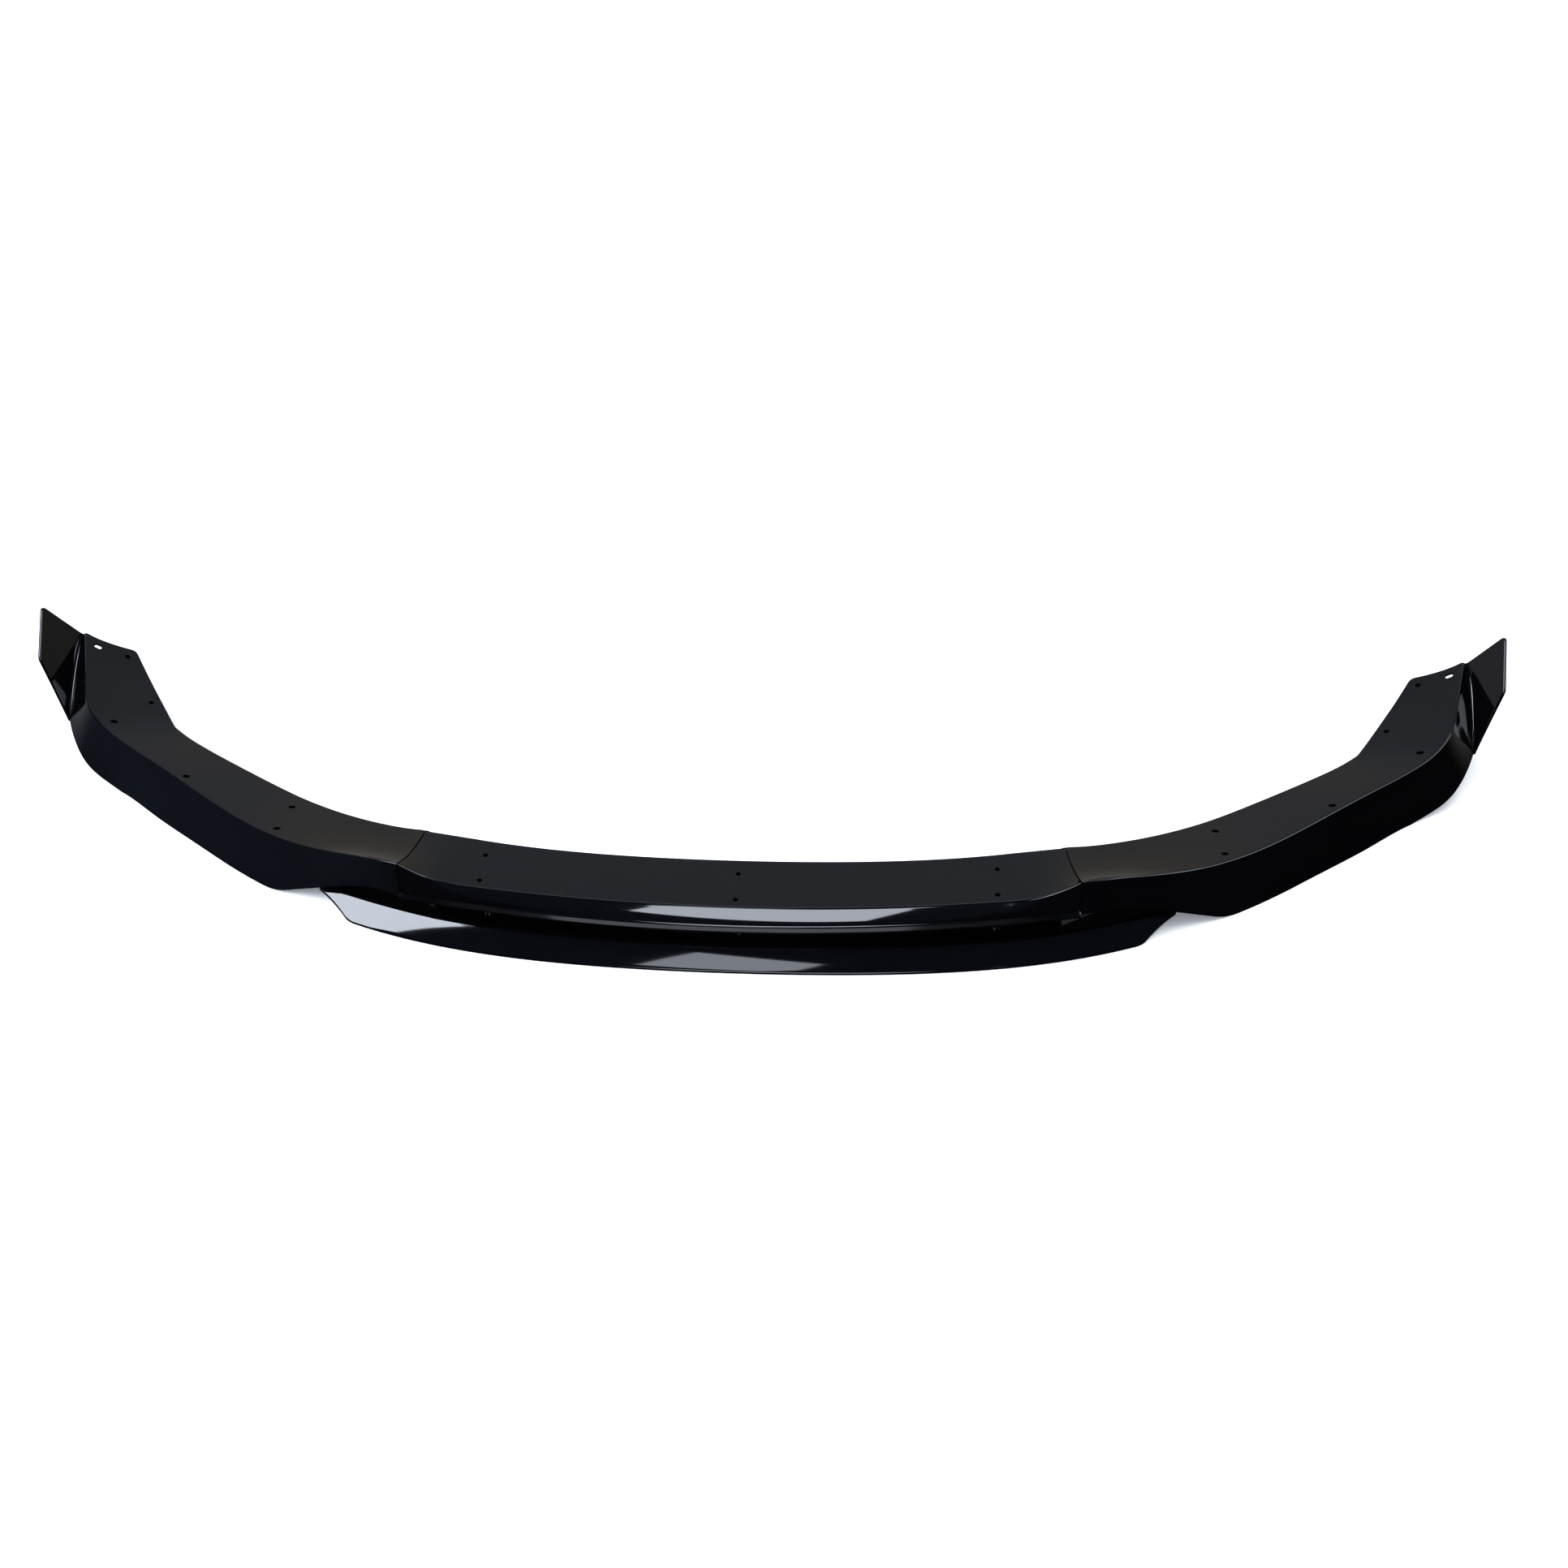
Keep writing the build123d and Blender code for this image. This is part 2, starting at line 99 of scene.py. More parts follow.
def crowned(rows, way, rise):
    """Rows of points pushed out along way, most in the middle of each row and not at its ends."""
    share = steps(rows.shape[1])[:, None]
    return rows + way[:, None] * rise * 4 * share * (1 - share)


def line(a, b, shares):
    """Points from a to b at the given shares, for every station at once."""
    t = shares[..., None]
    return a[:, None] * (1 - t) + b[:, None] * t


def bezier(a, b, c, shares):
    """Quadratic curve from a to c that bends towards b."""
    t = shares[..., None]
    return a[:, None] * (1 - t) ** 2 + b[:, None] * 2 * t * (1 - t) + c[:, None] * t ** 2


def smooth_curve(knots, at):
    """Cubic spline through knots, spaced by their distances, read at station numbers."""
    marks = np.concatenate([[0.0], np.cumsum(np.linalg.norm(np.diff(knots, axis=0), axis=1))])
    h = np.diff(marks)
    slopes = np.diff(knots, axis=0) / h[:, None]
    n = len(knots)
    system = np.zeros((n, n))
    right = np.zeros_like(knots)
    for k in range(1, n - 1):
        system[k, k - 1:k + 2] = h[k - 1], 2 * (h[k - 1] + h[k]), h[k]
        right[k] = 6 * (slopes[k] - slopes[k - 1])
    system[0, :3] = h[1], -h[0] - h[1], h[0]
    system[-1, -3:] = h[-1], -h[-1] - h[-2], h[-2]
    bend = np.linalg.solve(system, right)
    k = np.minimum(at.astype(int), n - 2)
    span = h[k][:, None]
    b = (at - k)[:, None] * span
    a = span - b
    curve = (bend[k] * a ** 3 + bend[k + 1] * b ** 3) / (6 * span)
    curve += (knots[k] / span - bend[k] * span / 6) * a
    return curve + (knots[k + 1] / span - bend[k + 1] * span / 6) * b


def rounded_line(corners, radii, count=9):
    """Plan polyline through corners, each inner corner rounded by an arc of its radius."""
    corners = np.array(corners, float)
    rows = [corners[:1]]
    for before, corner, after, radius in zip(corners, corners[1:], corners[2:], radii):
        if radius == 0:
            rows.append(corner[None])
            continue
        a, b = unit(before - corner), unit(after - corner)
        half = math.acos(np.clip(a @ b, -1, 1)) / 2
        centre = corner + unit(a + b) * radius / math.sin(half)
        start = corner + a * radius / math.tan(half) - centre
        finish = corner + b * radius / math.tan(half) - centre
        sweep = math.pi - 2 * half
        turn = steps(count) * sweep
        weights = np.stack([np.sin(sweep - turn), np.sin(turn)], axis=1) / math.sin(sweep)
        rows.append(centre + weights @ np.stack([start, finish]))
    rows.append(corners[-1:])
    return np.concatenate(rows)


def first_crossing(values):
    """Share along each row where values first stop being negative."""
    inside = values >= 0
    k = np.clip(np.argmax(inside, axis=1), 1, None)
    row = np.arange(len(values))
    low, high = values[row, k - 1], values[row, k]
    share = (k - 1 - low / (high - low)) / (values.shape[1] - 1)
    share = np.where(inside.any(axis=1), share, 1.0)
    return np.where(inside[:, 0], 0.0, share)


print("curve helpers ready, wall", WALL, "mm")

# %% [markdown]
# A mesh is made from the two faces: neighbouring loops are joined by quads, and each end is closed.
# The first and last loops shrink a little as they leave the panel, so that the ends are rounded like
# the edges. Smooth shading then needs no sharp edges at all.

# %% Faces to mesh
END_R = 0.6
END_STEPS = 3
EDGE_MOST = 0.7       # largest share of a face's last step that the rounding takes


def edge_start(tip, run, radius):
    """Point at a radius before the tip, where the rounding of an edge starts."""
    return tip + run * np.minimum(EDGE_MOST, radius / np.linalg.norm(run, axis=1, keepdims=True))


def round_edge(outer, inner, radius):
    """Rounded edge between the last points of the outer and the inner face."""
    tip_out, tip_in = outer[:, -1], inner[:, -1]
    across = unit(tip_in - tip_out) * radius
    from_out = edge_start(tip_out, outer[:, -2] - tip_out, radius)
    from_in = edge_start(tip_in, inner[:, -2] - tip_in, radius)
    turn = steps(EDGE_STEPS + 1)
    start = bezier(from_out, tip_out, tip_out + across, turn)
    finish = bezier(tip_in - across, tip_in, from_in, turn)
    return np.concatenate([start, finish], axis=1)


def rounded_ends(outer, inner):
    """Rows of both faces with rounded ends: extra rows that close in on the middle of the wall."""
    for _ in range(2):
        ahead = unit(outer[-1] - outer[-2] + inner[-1] - inner[-2])
        last_out, last_in = outer[-1], inner[-1]
        rows_out, rows_in = [], []
        for angle in steps(END_STEPS + 1) * math.pi / 2:
            inset = END_R * (1 - math.cos(angle)) / WALL
            back = ahead * END_R * (1 - math.sin(angle))
            rows_out.append(last_out + (last_in - last_out) * inset - back)
            rows_in.append(last_in + (last_out - last_in) * inset - back)
        outer = np.concatenate([outer[:-1], rows_out])[::-1]
        inner = np.concatenate([inner[:-1], rows_in])[::-1]
    return outer, inner


def skin_mesh(name, outer, inner, far_r=EDGE_R, near_r=EDGE_R):
    """Closed mesh of a panel from its outer and inner faces."""
    outer, inner = rounded_ends(outer, inner)
    if np.ndim(far_r):
        far_r = np.concatenate([[far_r[0]] * END_STEPS, far_r, [far_r[-1]] * END_STEPS])[:, None]
    far = round_edge(outer, inner, far_r)
    near = round_edge(inner[:, ::-1], outer[:, ::-1], near_r)
    loops = np.concatenate([outer[:, 1:-1], far, inner[:, -2:0:-1], near], axis=1)
    rows, count = loops.shape[:2]
    index = np.arange(rows * count).reshape(rows, count)
    after = np.roll(index, -1, axis=1)
    quads = np.stack([index[:-1], after[:-1], after[1:], index[1:]], axis=-1).reshape(-1, 4)
    caps = []
    size = outer.shape[1] - 2
    rim = far.shape[1]
    for row, flip in ((index[0], 1), (index[-1], -1)):
        face_out = list(row[:size])
        face_in = list(row[size + rim:2 * size + rim][::-1])
        for k in range(size - 1):
            caps.append([face_out[k], face_in[k], face_in[k + 1], face_out[k + 1]][::flip])
        caps.append(([face_in[-1], face_out[-1]][::-1] + list(row[size:size + rim]))[::-flip])
        caps.append(([face_out[0], face_in[0]][::-1] + list(row[2 * size + rim:]))[::-flip])
    mesh = bpy.data.meshes.new(name)
    mesh.from_pydata((loops.reshape(-1, 3) * MM).tolist(), [], quads.tolist() + caps)
    repaired = bmesh.new()
    repaired.from_mesh(mesh)
    bmesh.ops.recalc_face_normals(repaired, faces=repaired.faces)
    repaired.to_mesh(mesh)
    repaired.free()
    mesh.shade_smooth()
    return mesh


def panel_object(name, mesh):
    piece = bpy.data.objects.new(name, mesh)
    scene.collection.objects.link(piece)
    return piece


print("mesh helpers ready")

# %% [markdown]
# A panel's section is given by three points and a hollow: the crease at the front of the flange, the
# back edge, the toe at the bottom of the front face, and how far the flange sags between them. The
# inner face follows at one wall's depth. Both faces get the same number of points, so they pair up.

# %% Section of a panel
NOSE = 2.2
HOLLOW_AT = 0.45
NOSE_SHARES = steps(7)
TRIM_SAMPLES = 400
TRIM_MOST = 0.985     # a trim always leaves this last bit of the flange


def inner_points(crease, back, toe, sag, depth):
    """Toe, corner under the crease, flange hollow and back, at a depth inside the panel."""
    chord = unit(back - crease)
    front = unit(toe - crease)
    down = unit(front - chord * dot(front, chord))
    hollow = crease + (back - crease) * HOLLOW_AT + down * sag[:, None]
    flange = unit(hollow - crease)
    below = unit(front - flange * dot(front, flange))
    behind = unit(flange - front * dot(flange, front))
    inset = depth * (1 - dot(below, behind)) / dot(flange, behind)
    corner = crease + flange * inset + below * depth
    return toe + behind * depth, corner, hollow + down * depth, back + down * depth


def flange_face(crease, back, toe, sag, depth, keep, count):
    """Flange and crease rounding of one face, from the trimmed back edge to the start of the front."""
    toe, corner, hollow, back = inner_points(crease, back, toe, sag, depth)
    flange_end = corner + unit(hollow - corner) * NOSE
    front_start = corner + unit(toe - corner) * NOSE
    fine = bezier(back, hollow, flange_end, steps(TRIM_SAMPLES))
    begin = np.minimum(first_crossing(keep(fine)), TRIM_MOST)
    shares = begin[:, None] + (1 - begin[:, None]) * steps(count)
    flange = bezier(back, hollow, flange_end, shares)
    nose = bezier(flange_end, corner, front_start, NOSE_SHARES)
    return np.concatenate([flange[:, :-1], nose], axis=1), front_start, toe


print("section helpers ready")

# %% [markdown]
# The centre lip is a shallow strip with a level flange. It curves back from the middle to the seams,
# and near each seam its crease climbs into a low hump. A ledge runs along the bottom of its front
# face. All of that is one set of formulas in the distance from the middle, so the lip needs no
# hand-placed stations.

# %% Centre lip
SEAM_X = 384.0
SEAM_TOE = math.radians(9.5)
SEAM_GAP = 1.6
CREASE = (-33.0, 33.5, 0.0)      # depth in the middle, sweep by the second and the fourth power
BACK = (43.0, 27.0, 17.0)
TOE = (-47.5, 39.5, 0.0)
TRIM = 9.0
SEAM_CORNER = 4.5     # rounding of the flange corners at the seams
LIP_DROP = 23.0
HUMP_RISE, HUMP_RUN, HUMP_SAG, HUMP_BACK_FALL = 21.0, 74.0, 14.0, 4.0
BEAD, BEAD_TALL = 3.5, 5.0
LIP_ROWS = 161
# distances of the last rows from the seam
LIP_END_ROWS = np.array([6.0, 4.5, 3.4, 2.5, 1.7, 1.0, 0.5, 0.2, 0.0])
FLANGE_POINTS = 26
FRONT_POINTS = 14
LEDGE_POINTS = 5
LIP_CROWN = 0.5       # bulge of the front face


def swept(curve, x, half=SEAM_X):
    share = x / half
    return curve[0] + curve[1] * share ** 2 + curve[2] * share ** 4


def lip_stations(x):
    """Crease, back, toe and hollow of the centre lip at crease positions x."""
    lean = math.tan(SEAM_TOE) * x / SEAM_X
    climb = np.maximum(0.0, (np.abs(x) - SEAM_X + HUMP_RUN) / HUMP_RUN) ** 2
    y_crease = swept(CREASE, x)

    def at(y, z):
        return np.stack([x - lean * (y - y_crease), y, z + 0 * x], axis=1)

    crease = at(y_crease, HUMP_RISE * climb)
    back = at(swept(BACK, x) + TRIM, -HUMP_BACK_FALL * climb)
    return crease, back, at(swept(TOE, x), -LIP_DROP), HUMP_SAG * climb


def seam_corner(rows):
    """How far the back edge is cut away by the rounded corners at the seams."""
    seam_x = SEAM_X - math.tan(SEAM_TOE) * (rows[..., 1] - swept(CREASE, SEAM_X))
    near = np.clip(np.abs(np.abs(rows[..., 0]) - seam_x) - SEAM_GAP / 2, 0, SEAM_CORNER)
    return SEAM_CORNER - np.sqrt(SEAM_CORNER ** 2 - (SEAM_CORNER - near) ** 2)


def within_lip(rows):
    return swept(BACK, rows[..., 0]) - seam_corner(rows) - rows[..., 1]


def lip_faces():
    half = SEAM_X - LIP_END_ROWS
    x = np.concatenate([-half[::-1], steps(LIP_ROWS, -half[0], half[0])[1:-1], half])
    crease, back, toe, sag = lip_stations(x)
    for row in (crease, back, toe):
        row[:, 0] -= SEAM_GAP / 2 * x / SEAM_X
    upper, front, low = flange_face(crease, back, toe, sag, 0.0, within_lip, FLANGE_POINTS)
    under, front_in, low_in = flange_face(crease, back, toe, sag, WALL, within_lip, FLANGE_POINTS)
    up = unit(front - low)
    ahead = unit((low - back) * (1, 1, 0))
    ledge_root = low + up * BEAD_TALL
    ledge = low + ahead * BEAD + (0, 0, BEAD_TALL / 2)
    edge = low + ahead * BEAD
    out = unit(np.cross(np.gradient(front, axis=0), front - low))
    face = crowned(line(front, ledge_root, steps(FRONT_POINTS)), out, LIP_CROWN)
    slope = line(ledge_root, ledge, steps(LEDGE_POINTS))
    nose = line(ledge, edge, steps(LEDGE_POINTS))
    face_in = line(front_in, low_in, steps(FRONT_POINTS + 2 * LEDGE_POINTS - 2))
    outer = np.concatenate([upper, face[:, 1:], slope[:, 1:], nose[:, 1:]], axis=1)
    inner = np.concatenate([under, face_in[:, 1:]], axis=1)
    return outer, inner


lip_mesh = skin_mesh("centre_lip_skin", *lip_faces())
print("centre lip:", len(lip_mesh.polygons), "faces")

# %% [markdown]
# A side lip is a moulded form with no formula, so its surface runs through listed stations:
# crease, back and toe points, measured outward from the seam, joined by smooth guide curves. The
# back edge and the arched bottom edge are then trimmed by plan and front outlines.

# %% Side lip: guides and trims
FLOOR = -92.0
WING_STATIONS = [
    ((41, 18.5, 12), (25, 110, -14), (53, 1, -96), 13),
    ((86, 44, -5), (44, 121, -18), (100, 21, -96), 8),
    ((146, 75.5, -21), (102, 152, -31), (162, 55, -96), 3),
    ((206, 110, -27), (160, 186, -41), (222, 91, -96), 1),
    ((276, 158.5, -26.5), (228, 230, -43), (292, 141, -96), 0),
    ((346, 210, -23.5), (292, 274, -43), (363, 194, -96), 0),
    ((406, 251, -18.5), (338, 316, -42), (422, 240, -90.5), 0),
    ((442, 282, -12), (359, 340, -35), (462, 265, -76), 1),
    ((461, 309, -3), (378, 363, -28), (486.5, 296.5, -58), 2),
    ((470, 338, 5), (395, 386, -20), (498.5, 326.5, -41), 5),
    ((479, 374, 16), (411, 409, -9), (496.5, 365, -6), 8),
    ((488, 419, 30.5), (425, 432, 1), (498, 415, 26), 11),
]
WING_BACK = [(10, 93.5), (52, 111.5), (116, 147), (196, 197), (276, 245.5), (351.5, 299)]
WING_REAR, REAR_OUTER = (427.5, 411.0), (600.0, 402.0)
CORNER_R, REAR_R = 8.0, 10.0
ARCH = [(-100, -22), (0, -22), (44, -26), (177, FLOOR), (800, FLOOR)]
ARCH_RADII = (0, 110.0, 70.0)
SURPLUS = 4.0         # moulded surplus below the floor level, trimmed off
WING_OVERRUN = 30.0   # start of the back edge's curve, inward of the seam
SAG_PITCH = 351.5     # even spacing of the stations for the hollow's curve
BACK_POINTS, CORNER_POINTS = 240, 12     # points on the back edge, and how many the corner replaces
BACK_SHORT = 1.001
WING_ROWS = 280
# square roots of the first station numbers, close together at the seam
SEAM_ROWS = steps(10, 0, 0.36)
SKIRT_POINTS, COVE_POINTS, FIN_POINTS = 12, 8, 14

outward = np.array([SEAM_X, 0, 0])
seam = [row[0] for row in lip_stations(np.array([SEAM_X]))]
fall = (FLOOR - SURPLUS - seam[0][2]) / (seam[2][2] - seam[0][2])
low_toe = seam[0] + (seam[2] - seam[0]) * fall
gap_step = np.array([SEAM_GAP / 2, 0, 0])
knots = [np.array([seam[0], seam[1], low_toe]) + gap_step]
knots += [np.array(row[:3]) + outward for row in WING_STATIONS]
knots = np.array(knots, float)
sags = [seam[3]] + [row[3] for row in WING_STATIONS]
hollows = np.array([(k * SAG_PITCH, sag) for k, sag in enumerate(sags)], float)

back_start = SEAM_X - WING_OVERRUN
back_knots = np.array([(back_start, swept(BACK, back_start))] +
                      [(SEAM_X + x, y) for x, y in WING_BACK], float)
back_line = smooth_curve(back_knots, steps(BACK_POINTS, 0, len(back_knots) - BACK_SHORT))
rear_corners = [(SEAM_X + x, y) for x, y in (WING_REAR, REAR_OUTER)]
corner_line = rounded_line([back_line[-CORNER_POINTS], back_knots[-1]] + rear_corners,
                           (CORNER_R, REAR_R))
wing_edge = np.concatenate([back_line[:-CORNER_POINTS], corner_line])
arch_line = rounded_line([(SEAM_X + x, z) for x, z in ARCH], ARCH_RADII)


def within_wing(rows):
    edge = np.interp(rows[..., 0], wing_edge[:, 0], wing_edge[:, 1])
    return edge - seam_corner(rows) - rows[..., 1]


def above_arch(rows):
    return np.interp(rows[..., 0], arch_line[:, 0], arch_line[:, 1]) - rows[..., 2]


last_span = steps(TRIM_SAMPLES, len(knots) - 2, len(knots) - 1)
past_rear = -within_wing(smooth_curve(knots[:, 0], last_span))
REAR_END = last_span[0] + first_crossing(past_rear[None])[0]
print("side lip:", len(knots), "stations, the crease meets the rear edge at station", REAR_END)

# %% [markdown]
# The fin is a flat plate that leaves the skirt along a root line, with a hollow cove between them. It
# could be a second body joined by a boolean, but then the cove would be a seam of slivers. Here the
# section itself goes on: down the skirt, round the cove and up the fin to its rim, so skirt, cove
# and fin are one smooth skin. Before the fin starts, the same points lie along the skirt.

# %% Side lip: skirt, cove and fin
FIN_WALL, FIN_SINK, FIN_EDGE_R, FIN_COVE = 4.2, 1.4, 1.7, 7.5
FIN_ROOT_LOW = np.array((496.3, 318.8, -47.2)) + outward
FIN_ROOT_HIGH = np.array((493.9, 408.8, 30.3)) + outward
FIN_TIP = np.array((521.5, 384.0, 85.5)) + outward
FIN_OUTER = np.array((541.5, 343.0, 31.0)) + outward
FIN_OUTER_R, FIN_TIP_R = 12.0, 4.0
COVE_SHARE = 0.35     # largest share of the fin's height that the cove takes
COVE_ON_SKIRT = 0.5   # the same for the skirt
RIM_SHARE = 0.3       # the rounding of a low fin's rim, as a share of its height
RIM_ARC_POINTS = 16
STRIP = 16.0          # width of the skirt strip whose points become cove and fin
STRIP_LEAST = 1.5
STRIP_MOST = 0.6      # largest share of the skirt's height that the strip takes
FIN_START = 9.72      # station number of the root's low end
STRIP_FADE = 0.8      # stations over which the strip narrows before the fin
ROOT_SHORT = 3.5      # the cove stops this far below the high end of the root
AFTER_SEAM, BEFORE_FIN = 0.04, 0.02      # station steps next to the seam's rows and to the fin

fin_x = unit(FIN_ROOT_LOW - FIN_ROOT_HIGH)
fin_z = unit(np.cross(fin_x, FIN_TIP - FIN_ROOT_HIGH))
fin_y = np.cross(fin_z, fin_x)
fin_origin = FIN_ROOT_HIGH + fin_z * FIN_SINK


def in_fin(spots):
    """Coordinates of points in the fin's plane."""
    return np.stack([(spots - fin_origin) @ fin_x, (spots - fin_origin) @ fin_y], axis=-1)


def from_fin(flat, depth=0.0):
    return fin_origin + flat[:, :1] * fin_x + flat[:, 1:] * fin_y - fin_z * depth


def along(path, shares):
    """Points at even shares of a path's length."""
    length = np.concatenate([[0], np.cumsum(np.linalg.norm(np.diff(path, axis=0), axis=1))])
    return np.stack([np.interp(shares * length[-1], length, path[:, k]) for k in (0, 1)], axis=1)


def fin_rim(shares):
    """Rim from the low end of the root over the outer corner and the tip to the rear edge."""
    low, outer, tip = [in_fin(p) for p in (FIN_ROOT_LOW, FIN_OUTER, FIN_TIP)]
    radii = (FIN_OUTER_R, FIN_TIP_R)
    return along(rounded_line([low, outer, tip, (0, 0)], radii, RIM_ARC_POINTS)[:-1], shares)


def bottom_edge(top, low):
    """End of each front line where it meets the arched bottom edge."""
    cut = first_crossing(above_arch(line(top, low, steps(TRIM_SAMPLES))))
    return top + (low - top) * cut[:, None]


def skirt_face(top, end, at):
    """Front of the panel before the fin: wide steps down the skirt, then a strip of fine ones."""
    strip = np.clip((FIN_START - at) / STRIP_FADE, STRIP_LEAST / STRIP, 1.0) * STRIP
    strip = np.minimum(strip, STRIP_MOST * np.linalg.norm(end - top, axis=1))[:, None]
    knee = end + unit(top - end) * strip
    fine = line(knee, end, steps(COVE_POINTS + FIN_POINTS - 1))
    return np.concatenate([line(top, knee, steps(SKIRT_POINTS))[:, 1:], fine[:, 1:]], axis=1)


def fin_faces(top, low, top_in, low_in):
    """Skirt, cove and fin on the inner side, and skirt, root and fin on the outer side."""
    way = unit(top - low)
    reach = dot(fin_origin - low, fin_z) / dot(way, fin_z)
    foot = low + way * reach
    root = in_fin(foot)
    shares = (root[0, 0] - root[:, 0]) / (root[0, 0] - root[-1, 0])
    foot = foot - fin_x * (root[-1, 0] - ROOT_SHORT) * shares[:, None]
    root = in_fin(foot)
    rim = fin_rim(shares)
    tall = np.linalg.norm(rim - root, axis=1, keepdims=True)
    size = np.minimum(FIN_COVE, COVE_SHARE * tall)
    peak = from_fin(rim)
    strip = np.linalg.norm(top - foot, axis=1, keepdims=True)
    on_skirt = foot + unit(top - foot) * np.minimum(size, COVE_ON_SKIRT * strip)
    on_fin = foot + unit(peak - foot) * size
    face = np.concatenate([
        line(top, on_skirt, steps(SKIRT_POINTS))[:, 1:],
        bezier(on_skirt, foot, on_fin, steps(COVE_POINTS))[:, 1:],
        line(on_fin, peak, steps(FIN_POINTS))[:, 1:],
    ], axis=1)
    root_out = from_fin(root, FIN_WALL)
    heel = foot - unit(way + fin_y) * FIN_WALL
    outside = np.concatenate([
        line(top_in, low_in, steps(SKIRT_POINTS))[:, 1:],
        bezier(low_in, heel, root_out, steps(COVE_POINTS))[:, 1:],
        line(root_out, from_fin(rim, FIN_WALL), steps(FIN_POINTS))[:, 1:],
    ], axis=1)
    return face, outside, tall[:, 0]


def wing_mesh():
    half = WING_ROWS // 2
    first = SEAM_ROWS ** 2
    middle = steps(half - len(first), first[-1] + AFTER_SEAM, FIN_START - BEFORE_FIN)
    at = np.concatenate([first, middle, steps(half, FIN_START, REAR_END)])
    crease, back, toe = [smooth_curve(knots[:, k], at) for k in range(3)]
    sag = smooth_curve(hollows, at)[:, 1]
    upper, front, low = flange_face(crease, back, toe, sag, 0.0, within_wing, FLANGE_POINTS)
    under, front_in, low_in = flange_face(crease, back, toe, sag, WALL, within_wing, FLANGE_POINTS)
    skirt = skirt_face(front[:half], bottom_edge(front, low)[:half], at[:half])
    skirt_in = skirt_face(front_in[:half], bottom_edge(front_in, low_in)[:half], at[:half])
    face, outside, tall = fin_faces(front[half:], low[half:], front_in[half:], low_in[half:])
    outer = np.concatenate([upper, np.concatenate([skirt, face])], axis=1)
    inner = np.concatenate([under, np.concatenate([skirt_in, outside])], axis=1)
    rim_r = np.clip(tall * RIM_SHARE, EDGE_R, FIN_EDGE_R)
    rim_r = np.concatenate([np.full(half, EDGE_R), rim_r])
    return skin_mesh("side_lip_skin", outer, inner, rim_r)


side_mesh = wing_mesh()
print("side lip:", len(side_mesh.polygons), "faces")

# %% [markdown]
# The lower blade is a shelf with a sloping front. Seen from the side it is a graph: height by distance
# behind the front edge, once for the top and once for the underside. Its ends are cut on a slant, so
# there each section simply starts further back.

# %% Lower blade
SHELF = -70.0
BLADE_HALF = 461.0
BLADE_FRONT = (-47.0, 34.0, 30.0)
BLADE_TIP = (501.0, 54.5)
BLADE_END_BOW = 2.0
BLADE_CORNER = 7.0    # half the length over which front and slanted end blend
BLADE_DEEP, SLOPE_RUN, BLADE_NOSE, BLADE_FOOT = 92.0, 24.0, 3.0, 2.0
BLADE_ROWS, BLADE_END_ROWS = 161, 36
SLOPE_POINTS, SHELF_POINTS = 16, 18
BLADE_CROWN = 0.5     # bulge of the sloping front
SLOPE_CROWD = 0.8     # below 1, the slope's points crowd towards the shelf


def slant_y(x):
    """Depth of the slanted end, a shallow arc from the front corner to the tip."""
    corner = np.array([BLADE_HALF, swept(BLADE_FRONT, BLADE_HALF, BLADE_HALF)])
    tip = np.array(BLADE_TIP)
    share = (np.abs(x) - corner[0]) / (tip[0] - corner[0])
    bow = BLADE_END_BOW * 4 * share * (1 - share)
    return corner[1] + (tip[1] - corner[1]) * share + bow


def blade_mesh():
    inner = BLADE_HALF - BLADE_CORNER
    end = steps(BLADE_END_ROWS + 1, inner, BLADE_TIP[0])[1:]
    x = np.concatenate([-end[::-1], steps(BLADE_ROWS, -inner, inner), end])
    front = swept(BLADE_FRONT, x, BLADE_HALF)
    past = np.abs(x) - BLADE_HALF
    blend_end = BLADE_HALF + BLADE_CORNER
    full_cut = slant_y(blend_end) - swept(BLADE_FRONT, blend_end, BLADE_HALF)
    corner_cut = full_cut * (np.clip(past / BLADE_CORNER, -1, 1) / 2 + 0.5) ** 2
    start = np.where(past > BLADE_CORNER, slant_y(x) - front, corner_cut)
    slope_rise = (SHELF - FLOOR - BLADE_NOSE) / SLOPE_RUN
    start = start[:, None]
    slope_end, shelf_start = SLOPE_RUN - NOSE, SLOPE_RUN + NOSE
    ahead = start + (slope_end - start) * steps(SLOPE_POINTS) ** SLOPE_CROWD
    crease = slope_end + 2 * NOSE * NOSE_SHARES + 0 * start
    behind = shelf_start + (BLADE_DEEP - shelf_start) * steps(SHELF_POINTS) + 0 * start
    run = np.concatenate([ahead, crease[:, 1:], behind[:, 1:]], axis=1)

    def rows(height):
        return np.stack([x[:, None] + 0 * run, front[:, None] + run, height], axis=-1)

    share = np.clip((run - slope_end) / (2 * NOSE), 0, 1)
    slope_line = FLOOR + BLADE_NOSE + slope_rise * run
    top = np.where(run < SLOPE_RUN, slope_line, SHELF)
    rounded = SHELF - slope_rise * NOSE * (1 - share) ** 2
    top = np.where((share > 0) & (share < 1), rounded, top)
    on_slope = np.clip(run / slope_end, 0, 1)
    top = top + BLADE_CROWN * 4 * on_slope * (1 - on_slope)
    under = np.clip(FLOOR + slope_rise * (run - BLADE_FOOT), FLOOR, SHELF - WALL)
    return skin_mesh("blade_skin", rows(top), rows(under))


blade = blade_mesh()
print("lower blade:", len(blade.polygons), "faces")

